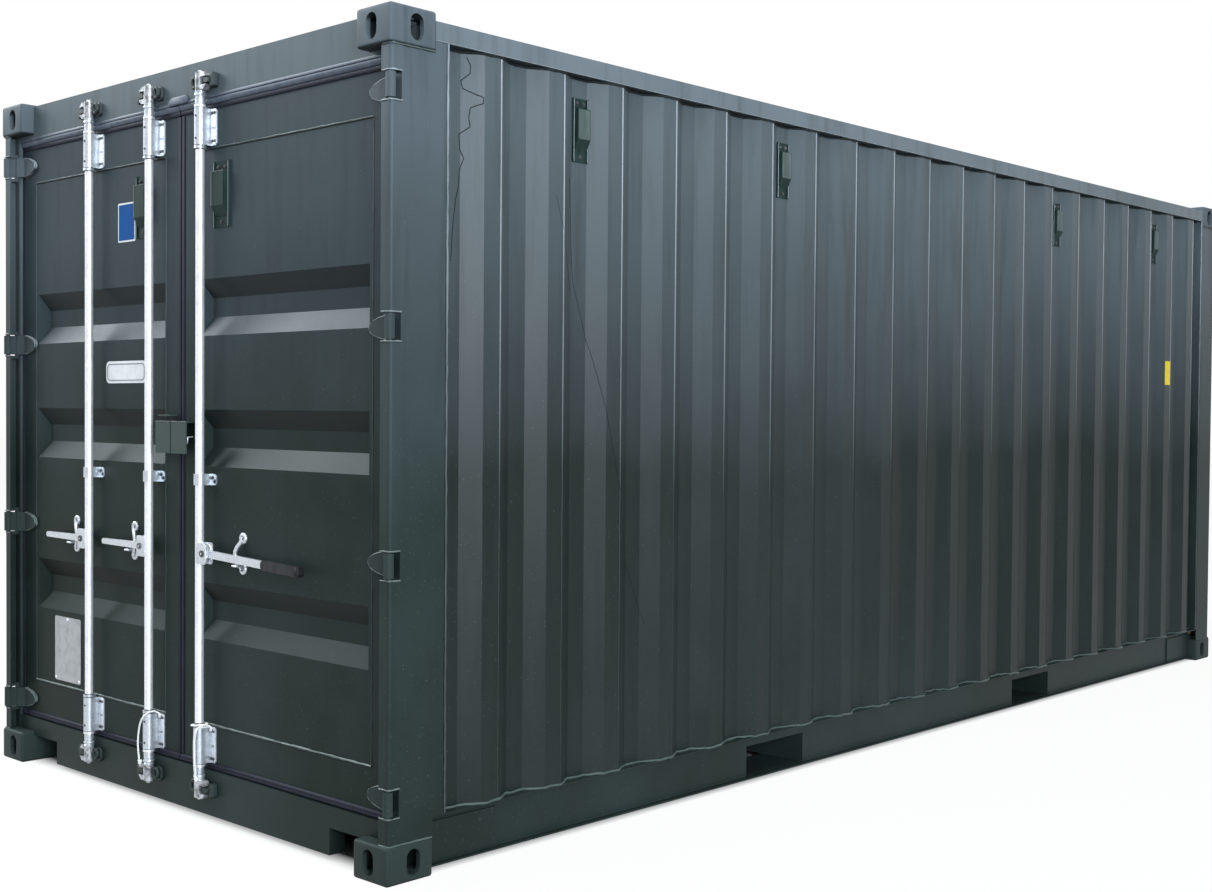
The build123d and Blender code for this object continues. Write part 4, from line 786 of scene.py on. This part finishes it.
def handle_catches():
    """Forged catches: two bolted lobes, a curved strap between them and a ledge under the bar."""
    for body, hand, places, replaced in CATCHES:
        parts, heads = [], []
        for x, droop in places:
            strap = [at(x + hand * across, inward, up) for across, inward, up in CATCH_STRAP]
            parts.append(tube(strap, 7.2, 2))
            foot = HANDLE_HEIGHT - droop - 27
            ledge = [at(x - LEDGE_WIDTH / 2, inward, foot + up) for inward, up in CATCH_LEDGE]
            parts.append(slab(ledge, LEDGE_WIDTH, (1, 0, 0), 1.0))
            parts.append(copies(boss, [facing_out(x, 65.5, up) for up in CATCH_LOBES]))
            heads += [facing_out(x, 57.5, up) for up in CATCH_LOBES]
        forging = joined(parts)
        finish(forging, f"{body}_catch_forgings", body, handle_zinc, 50)
        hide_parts(replaced)
        # Painted shade: the catch rivets are dark
        finish(copies(rivet, heads), f"{body}_catch_rivets", body, shadow_dark_zinc)


# Ropes: the route of each from its bracket down, its length, and the noose round the right rod
ROPE_RADIUS = 3.0
KNOT_RADIUS = 2.7
ROPE_INWARD = (59.6, 40.0, 5.0, 3.5, 5.0, 4.0, 6.0)
ROPE_UP = (314.0, 335.0, 322.0, 288.0, 240.0, 194.0, 150.0)
ROPES = (
    ("left", RODS[1][1], (30.0, 28.0, 15.0, -14.0, -29.0, -30.0, -22.0), 0.247),
    ("right", RODS[2][1], (30.0, 30.0, 24.0, 13.0, 11.0, 14.0, 17.0), 0.234),
)
NOOSE_RADIUS = 26.5
NOOSE_UP = 327.5
NOOSE_LEAN = 3.0
STRAND_TOP = 0.322


def rope_curve(name, points, radius):
    """A smooth rope through its route: a NURBS curve, round if it has a radius."""
    rope, spline = round_line(name, "NURBS", points, radius, 3)
    rope.data.resolution_u = 10
    spline.order_u = 3
    spline.use_endpoint_u = True
    return rope


def rope_line(points):
    """Places along the smooth route of a rope."""
    bare = rope_curve("rope_line", points, 0.0)
    bpy.context.view_layer.update()
    mesh = bpy.data.meshes.new_from_object(bare)
    places = [vertex.co.copy() for vertex in mesh.vertices]
    bpy.data.meshes.remove(mesh)
    drop(bare)
    return places


def overhand(centre, size, turn):
    """A small tight knot: a line of rope that goes round itself three times."""
    spin = Matrix.Rotation(math.radians(turn), 3, "Z")
    return tube([centre + spin @ (Vector((
        (math.sin(a) + 1.7 * math.sin(2 * a)) * size,
        -math.sin(3 * a) * size * 0.9,
        (math.cos(a) - 1.7 * math.cos(2 * a)) * size,
    )) * MM) for a in angles(36)], KNOT_RADIUS, 2, None, True)


def rope_noose(x, route):
    """The noose of the right rope round its rod, and the second strand that hangs beside it."""
    ring = [at(x + NOOSE_RADIUS * math.cos(a), ROD_DEPTH + NOOSE_RADIUS * math.sin(a),
               NOOSE_UP + NOOSE_LEAN * math.cos(a)) for a in angles(28)]
    strand = [place + Vector((-5.5, 0.5, 0)) * MM for place in rope_line(route) if place.z < STRAND_TOP]
    return joined([tube(ring, ROPE_RADIUS, 2, None, True), tube(strand, ROPE_RADIUS, 2)])


def tie_ropes():
    """The cords tied to the lowest brackets, a knot at each end and a noose on the right one."""
    for name, x, across, length in ROPES:
        body = f"{name}_door"
        route = [at(x + a, inward, up) for a, inward, up in zip(across, ROPE_INWARD, ROPE_UP)]
        rope = rope_curve(f"{name}_rope", route, ROPE_RADIUS)
        rope.data.materials.append(rope_white)
        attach(rope, body)
        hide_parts(f"{name}_tie_rope")
        knots = joined([overhand(route[-1] + Vector((0, 1.6, -3)) * MM, 2.6, 25),
                        overhand(route[0] + Vector((0, -4.5, -1)) * MM, 2.4, -20)])
        pieces = [finish(knots, f"{name}_rope_knots", body, rope_white, 60)]
        if name == "right":
            noose = rope_noose(x, route)
            pieces.append(finish(noose, "right_rope_noose", body, rope_white, 60))


LEAF_GAP = 3.0
SEAL_LOW = 200
SEAL_HIGH = LEAF_HIGH - 26
# Profiles of the rubber strips, inwards and up, and outline of the pad on the header, across and up
HEADER_LIP = ((66, 2417), (61.5, 2417.5), (59.5, 2421), (60, 2430), (62, 2433.5), (66, 2434))
HEADER_BULGE = (
    (66, 2433), (60, 2433.6), (56, 2436.4), (53.4, 2441), (52.6, 2446), (52.8, 2451), (54, 2452.4),
    (66, 2452.4))
SILL_LIP = (
    (66, 172.5), (61, 173), (58.5, 176), (58, 182), (59.4, 183.6), (58, 185.2), (58.5, 191),
    (61, 194.5), (66, 196))
FRAME_LIP = ((52.5, 2453.2), (50.6, 2453.2), (50.2, 2457), (50.6, 2461), (52.5, 2463))
HEADER_PAD = (
    (-56, 2453.6), (56, 2453.6), (62, 2459), (62, 2474), (54, 2481), (-34, 2481), (-50, 2474),
    (-62, 2460))


def strip(profile, start, end):
    """A straight rubber strip: a profile of (inward, up) points run across from start to end."""
    outline = [at(start, inward, up) for inward, up in profile]
    return slab(outline, end - start, (1, 0, 0))


def door_seals():
    """Bulging lips of the door gasket along the header, the sill, the middle and the hinge side."""
    for body, hand in LEAVES:
        start, end = sorted((hand * LEAF_GAP, hand * LEAF_OUTER))
        lips = [strip(HEADER_LIP, start, end)]
        # Painted reflection: the bulge takes the pale bluish rubber
        bulge = strip(HEADER_BULGE, start, end)
        finish(bulge, f"{body}_seal_bulge", body, sky_lit_rubber, 50)
        lips.append(strip(SILL_LIP, start, end))
        near, far = sorted((hand * LEAF_GAP, hand * 19.5))
        inner, outer = hand * (LEAF_OUTER - 3), hand * (LEAF_OUTER + 6)
        for corners in (((near, 63.0), (near, 68.0), (far, 68.0), (far, 63.0)),
                        ((inner, 62.5), (inner, 68), (outer, 68), (outer, 62.5))):
            lips.append(slab([at(across, inward, SEAL_LOW) for across, inward in corners],
                             SEAL_HIGH - SEAL_LOW, (0, 0, 1), 1.2))
        finish(joined(lips), f"{body}_seal_lips", body, seal_rubber, 50)
    # Painted reflection: the lips and the pad on the header take the pale bluish rubber too
    for name, start, end in (("header_lip_left", -1168, -62), ("header_lip_right", 62, 1168)):
        finish(strip(FRAME_LIP, start, end), name, "container", sky_lit_rubber, 50)
    pad = slab([at(across, 52.5, up) for across, up in HEADER_PAD], 8.5, (0, -1, 0), 2.5)
    finish(pad, "header_pad", "container", sky_lit_rubber, 40)


# The rim of a hinge window in the post, across and inwards; a blade's tip, in from the side and up
WINDOW_RIM = ((1173, 8), (1206, 8), (1212.5, 12), (1214, 20), (1214, 50))
BLADE_TIP = (
    (78, 37), (118, 29.5), (141, 22), (155, 15), (161, 7), (162.5, 0), (161, -7), (155, -15),
    (141, -22), (118, -29.5), (78, -37))
SHEET_SIDES = (104, 1062)


def door_welds():
    """Weld beads round the hinge blades, the post windows and the door sheets, and a dark seam line;
    the beads round the blades and the windows and the low sheet bead are pale as painted highlights.
    """
    rims = []
    for body, hand in LEAVES:
        beads, bright = [], []
        for z in HINGE_HEIGHTS:
            # Painted highlights: pale weld beads round the hinge windows
            for level in (z - HINGE_HALF, z + HINGE_HALF):
                rim = [at(hand * across, inward, level) for across, inward in WINDOW_RIM]
                rims.append(weld(rim, 3.0, 9, 0.4))
            # Painted highlights: pale beads round the tips of the hinge blades
            for inward, bead in ((63.2, (3.6,)), (56.0, (2.6, 10, 0.2))):
                tip = [at(hand * (SIDE - x), inward, z + up) for x, up in BLADE_TIP]
                bright.append(weld(tip, *bead))
        inner, outer = SHEET_SIDES
        low, high = [[at(hand * inner, LEAF_FACE, z), at(hand * outer, LEAF_FACE, z)]
                     for z in (SHEET_LOW, SHEET_HIGH)]
        # Painted highlight: the low sheet bead is pale
        bright.append(weld(low, 4.4, 20))
        beads.append(weld(high, 2.4, 20))
        seam = tube([at(hand * across, 65.2, SHEET_HIGH - 3.4)
                     for across in (inner + 2, outer - 2)], 2.6, 0)
        for x in SHEET_SIDES:
            beads.append(weld([at(hand * x, LEAF_FACE, z) for z in (SHEET_LOW, SHEET_HIGH)], 1.8, 30))
        finish(joined(beads), f"{body}_weld_beads", body, weld_paint, 60)
        finish(seam, f"{body}_seam_lines", body, scratch_and_shadow_paint, 60)
        finish(joined(bright), f"{body}_hinge_highlight_beads", body, highlight_bead_paint, 60)
    finish(joined(rims), "hinge_window_highlight_rims", "container", highlight_bead_paint, 60)


def cam_keepers():
    """Forged keepers on the header and the sill: base, lug, loop beside the hub and tongue."""
    loop = tube([Vector((12.5 * math.cos(a), 0, 17 * math.sin(a))) * MM for a in angles(20)],
                6.5, 3, None, True)
    # Each form with its place beside the rod and inwards, and how far above the cam it sits
    forms = (
        (slab(rounded(40, 50, 14), 11, (0, 1, 0), 3.0), -43, 41.5, 0),
        (loop, -42, 34, 2),
        (slab(rounded(22, 50, 9), 24, (0, 1, 0), 4.0), 68, 28, 0),
        (slab(rounded(30, 18, 4), 30, (0, 1, 0), 2.0), 43, 22, 0),
    )
    forging = joined([
        copies(form, [moved(x + hand * beside, inward, z + above)
                      for _, x, hand, _ in RODS for z in (TOP_CAM, BOTTOM_CAM)])
        for form, beside, inward, above in forms])
    finish(forging, "keeper_forgings", "container", forging_paint, 45)
    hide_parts("cam_keepers")
    drop(*[form for form, _, _, _ in forms])


def crest_start(n):
    """Where the n-th crest of the side walls starts, inwards."""
    return FIRST_CREST + n * PITCH


def wall_line(hand, height):
    """The foot or the head of a corrugated side wall, as places along its outer face."""
    line = [(VALLEY_FACE, WALL_START)]
    for n in range(CRESTS):
        start, end = crest_start(n), crest_start(n) + CREST
        line += [(VALLEY_FACE, start - SLOPE), (CREST_FACE, start), (CREST_FACE, end),
                 (VALLEY_FACE, end + SLOPE)]
    line.append((VALLEY_FACE, WALL_END))
    return [at(hand * out, inward, height) for out, inward in line]


def cut(item, tool):
    """Cut one piece out of another."""
    pick(item)
    bpy.ops.object.modifier_add(type="BOOLEAN")
    item.modifiers[-1].operation = "DIFFERENCE"
    item.modifiers[-1].object = tool
    bpy.ops.object.modifier_apply(modifier=item.modifiers[-1].name)
    drop(tool)


def block(width, depth, height, centre, edge=0.0):
    """A block in millimetres about a place, its edges rounded if an edge is given."""
    pick()
    bpy.ops.mesh.primitive_cube_add(size=1, location=(0, 0, 0))
    item = bpy.context.object
    mode("EDIT")
    bpy.ops.mesh.select_all(action="SELECT")
    bpy.ops.transform.resize(value=(width * MM, depth * MM, height * MM), center_override=(0, 0, 0))
    bpy.ops.transform.translate(value=centre)
    if edge:
        bpy.ops.mesh.bevel(offset=edge * MM, segments=4, affect="EDGES")
    mode("OBJECT")
    return item


def corner_castings():
    """Hollow corner castings with rounded edges, a hole in the front, in the side and on top."""
    middle = HEIGHT - FITTING_HEIGHT / 2
    casting = block(FITTING_WIDTH, FITTING_LENGTH, FITTING_HEIGHT,
                    at(SIDE - FITTING_WIDTH / 2, FITTING_LENGTH / 2, middle), CASTING_EDGE)
    hollow = at(SIDE - FITTING_WIDTH / 2 - 1.5, FITTING_LENGTH / 2 + 1.5, HEIGHT - 66)
    cut(casting, block(*CASTING_HOLLOW, hollow))
    for (wide, high), across, up, place in (
        (FACE_HOLE, HOLE_OUT, middle, moved(0, -CUTTER_START, 0)),
        (FACE_HOLE, 0, middle, moved(SIDE + CUTTER_START, HOLE_IN, 0) @ turned(90, "Z")),
        (TOP_HOLE, 0, 0, moved(HOLE_OUT, HOLE_IN, HEIGHT + CUTTER_START) @ turned(-90, "X")),
    ):
        cutter = slab(rounded(wide, high, wide / 2 - 0.05, across, up, 8), CUTTER_DEPTH, (0, 1, 0))
        cutter.data.transform(place)
        cut(casting, cutter)
    upside_down = Matrix.Translation((0, 0, HEIGHT * MM)) @ Matrix.Scale(-1, 4, (0, 0, 1))
    for name, replaced, level in (
        ("top_castings", "top_corner_fittings", Matrix.Identity(4)),
        ("bottom_castings", "bottom_corner_fittings", upside_down),
    ):
        castings = copies(casting, [
            level @ Matrix.Scale(across, 4, (1, 0, 0)) @ Matrix.Scale(along, 4, (0, 1, 0))
            for across in (1, -1) for along in (1, -1)])
        mode("EDIT")
        turn_outwards()
        mode("OBJECT")
        finish(castings, name, "container", casting_paint, 30)
        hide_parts(replaced)
    drop(casting)


# How far out the welds of the posts and the corner fittings run
WELD_OUT = 1214


def frame_welds():
    """Welds of walls, posts and corner fittings; pale beads on the folds and along the rail and wall
    edges as painted highlights; and a near black sealant bead under the top rails as their painted
    shadow.
    """
    beads, edges, folds, feet, seals = [], [], [], [], []
    rail_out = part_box("top_side_rails")[1][0] / MM - 1.2
    rail_ends = (FITTING_LENGTH + 2, LENGTH - FITTING_LENGTH - 2)
    for hand in (-1, 1):
        # Painted highlight: a pale line along the lower outer edge of each top rail
        edges.append(tube([at(hand * rail_out, end, TOP_RAIL_LOW + 1.5) for end in rail_ends], 2.2, 1))
        # Painted highlights: a thin pale bead on the far edge of each crest
        for n in range(CRESTS):
            fold = crest_start(n) + CREST - 1.0
            folds.append(tube([at(hand * (CREST_FACE - 2.4), fold, up)
                               for up in (RAIL_TOP + 8, TOP_RAIL_LOW - 4)], 4.0, 1))
        feet.append(weld(wall_line(hand, RAIL_TOP + 2), 5.0, 22, 2.2))
        # Painted shadow: a near black sealant bead under each top rail, following the corrugations
        seals.append(weld(wall_line(hand, TOP_RAIL_LOW - 3), 5.0, 26, 0.6))
        x = hand * WELD_OUT
        # Painted highlights: pale welds where the walls meet the posts
        for inward in (WALL_START, WALL_END):
            edges.append(weld([at(x - hand * 2, inward, z) for z in (181, TOP_RAIL_LOW)], 3.6, 24))
        for z in (FITTING_HEIGHT, HEIGHT - FITTING_HEIGHT):
            feet.append(weld([at(hand * 1172, 8, z), at(hand * 1208, 8, z), at(x, 14, z),
                              at(x, FITTING_LENGTH - 2, z)], 3.6, 18))
            back = LENGTH - 8
            beads.append(weld([at(x, LENGTH - FITTING_LENGTH + 2, z), at(x, LENGTH - 14, z),
                               at(hand * 1208, back, z), at(hand * 1105, back, z)], 3.4, 18))
    for items, name, paint in (
        (beads, "frame_weld_beads", weld_paint), (edges, "frame_edge_highlights", edge_highlight_paint),
        (folds, "wall_fold_highlights", fold_highlight_paint), (feet, "wall_foot_beads", foot_paint),
        (seals, "wall_head_shadow_seals", scratch_and_shadow_paint),
    ):
        finish(joined(items), name, "container", paint, 60)


def vent_details():
    """Bolts darkened as painted shade, pale rims as painted highlights, and pale faces as painted light
    from the sky, on the ventilators.
    """
    face = slab(rounded(54, 98, 4), 1.5, (0, 1, 0), 0.5)
    bolts, rims, faces = [], [], []
    for hand in (-1, 1):
        for n in VENT_CRESTS:
            y = crest_start(n) + CREST + SLOPE + VALLEY / 2
            for across, up in ((-16, 88), (16, 88), (0, -88)):
                bolts.append(facing_side(hand, hand * (VALLEY_FACE + 3), y + across, SIDE_VENT_UP + up))
            x = hand * (VALLEY_FACE + 7.6)
            # Painted highlights: pale lines down both rims of each side vent
            for side in (-32, 32):
                rims.append(tube([at(x, y + side, up) for up in (2230, 2436)], 1.6, 0))
            # Painted light: a pale plate on the front of each side vent
            faces.append(moved(hand * (VALLEY_FACE + 24.5), y, 2351) @ turned(90 * hand, "Z"))
    # Painted shade: the side vent bolts are dark
    finish(copies(bolt, bolts), "side_vent_bolts", "container", shadow_dark_zinc)
    finish(joined(rims), "side_vent_highlight_rims", "container", highlight_bead_paint, 60)
    finish(copies(face, faces), "side_vent_lit_faces", "container", sky_lit_vent_face)
    for body, hand in LEAVES:
        x = hand * DOOR_VENT_ACROSS
        places = [facing_out(x + across, 63, up) for across, up in ((-20, 2216), (20, 2216), (0, 2033))]
        # Painted shade: the door vent bolts are dark
        finish(copies(bolt, places), f"{body}_vent_bolts", body, shadow_dark_zinc)
        # Painted highlights: pale lines on the edges and the mouth of the door vent
        edges = [tube([at(x + side, 58.4, up) for up in (2016, 2234)], 1.6, 0) for side in (-43, 43)]
        mouth = ((-35, 2086), (-35, 2200), (35, 2200))
        edges.append(tube([at(x + across, 43.4, up) for across, up in mouth], 1.4, 0))
        finish(joined(edges), f"{body}_vent_highlight_rims", body, highlight_bead_paint, 60)
    drop(face)


# Places of the plates and of the blue label: across, inwards and up
SILVER_PLATE = (-811, 64.2, 468.5)
WHITE_PLATE = (-377.5, 64.2, 1534.5)
BLUE_LABEL = (-373, 64.6, 2079)


def bare_plate(name, outline, thick, place, paint, body="left_door", turn=0):
    """A thin plate or sticker, from the width, height and corner radius of its outline."""
    item = slab(rounded(*outline), thick, (0, 1, 0))
    item.data.transform(moved(*place) @ turned(turn, "Z"))
    finish(item, name, body, paint)


def data_plates():
    """Bare plates and stickers where the doors and the side wall carry their markings."""
    x, inward, z = SILVER_PLATE
    bare_plate("silver_plate", (200, 249, 9), 1.6, SILVER_PLATE, silver_plate)
    heads = [facing_out(x + across, inward, z + up) @ Matrix.Scale(0.7, 4)
             for across, up in ((0, 115), (-91, -115), (91, -115))]
    finish(copies(rivet, heads), "silver_plate_rivets", "left_door", zinc)
    bare_plate("white_plate", (281, 81, 22), 1.6, WHITE_PLATE, white_plate)
    x, _, z = WHITE_PLATE
    line = [point + at(x, 64.1, z) for point in rounded(259, 59, 16)]
    border = tube(line, 1.5, 0, None, True)
    finish(border, "white_plate_border", "left_door", grey_line)
    x, _, z = BLUE_LABEL
    bare_plate("blue_label_border", (120, 142, 4), 0.9, (x, 65.0, z), white_plate)
    bare_plate("blue_label", (108, 130, 3), 0.6, BLUE_LABEL, blue_label)
    bare_plate("yellow_label", (66, 130, 4), 0.8, (CREST_FACE + 0.8, crest_start(18) + CREST / 2, 1635),
               yellow_label, body="container", turn=90)


def lock_box_details():
    """The bright staple in the right half of the locking box, and a pale lip along the front edge over
    both halves as a painted highlight.
    """
    arc = [at(62 + 16 * math.cos(a), 40, 1296 + 16 * math.sin(a))
           for a in map(math.radians, range(150, 391, 20))]
    staple = tube([at(48, 60, 1304)] + arc + [at(78, 60, 1306)], 3.2, 2)
    finish(staple, "lock_box_staple", "right_door", zinc, 50)
    for body, start, end in (("left_door", -97, -4.5), ("right_door", 4.5, 97)):
        # Painted highlight: a pale bead along the front edge over the box
        lip = weld([at(start, 21, 1358), at(end, 21, 1358)], 2.2, 12, 0.2)
        finish(lip, f"{body}_box_edge_highlight", body, weld_paint, 60)


# The sleeve slopes down a little; its ribs are given by their distance from the rod
GRIP_SLOPE = math.tan(math.radians(2.4))
GRIP_RIBS = (380, 560, 568, 576)
GRIP_HALF_IN = 10.6
GRIP_HALF_UP = 16.6 * 0.82


def grip_details():
    """The closed end and the ribs of the rubber sleeve on the right handle."""
    ribs = []
    for reach in GRIP_RIBS:
        x = RODS[2][1] + reach
        up = HANDLE_HEIGHT - (reach - HANDLE_PIVOT) * GRIP_SLOPE
        ribs.append(tube([at(x, ROD_DEPTH + GRIP_HALF_IN * a, up + GRIP_HALF_UP * b)
                          for a, b in ((-1, -1), (-1, 1), (1, 1), (1, -1))], 1.4, 1, None, True))
    finish(joined(ribs), "grip_ribs", "right_lever", grip_rubber, 60)


def wall_face(inward):
    """How far out the outer face of a corrugated side wall stands at a place along it."""
    along = (inward - FIRST_CREST + SLOPE) % PITCH
    rise = min(along, SLOPE, 2 * SLOPE + CREST - along) / SLOPE
    return VALLEY_FACE + (CREST_FACE - VALLEY_FACE) * max(0, rise)


# Marks in the paint of the right side wall, as places inwards and up
LONG_SCRATCH = ((780, 2173), (807, 1838), (896, 1570), (985, 1232), (1073, 894), (1174, 656))
FAINT_SCRATCH = ((693, 2102), (750, 1938), (790, 1800))
PAINT_CRACK = (
    (328, 2489), (339, 2463), (338, 2439), (312, 2415), (317, 2392), (345, 2380), (376, 2369),
    (376, 2351), (339, 2334), (335, 2303), (339, 2276), (305, 2250), (310, 2204), (322, 2178),
    (308, 2141), (306, 2093), (294, 2052), (286, 1996), (281, 1948), (278, 1900), (274, 1852))


def old_marks():
    """A long scratch and a wandering crack in the paint of the right side wall."""
    marks = []
    for places, radius in ((LONG_SCRATCH, 1.1), (FAINT_SCRATCH, 0.8), (PAINT_CRACK, 1.5)):
        line = []
        for (start, high), (end, low) in zip(places, places[1:]):
            steps = max(2, round(math.hypot(end - start, low - high) / 9))
            for n in range(steps):
                inward = start + (end - start) * n / steps
                up = high + (low - high) * n / steps + random.uniform(-0.6, 0.6)
                line.append(at(wall_face(inward) + 0.2, inward, up))
        marks.append(tube(line, radius, 0))
    finish(joined(marks), "wall_paint_marks", "container", scratch_and_shadow_paint)


# The pieces, in the order of their random draws
bracket_details()
rod_details()
handle_catches()
tie_ropes()
door_seals()
door_welds()
cam_keepers()
corner_castings()
frame_welds()
vent_details()
data_plates()
lock_box_details()
grip_details()
old_marks()
drop(rivet, bolt, hole, boss, gap_ring, neck, pin_end, collar_lip)
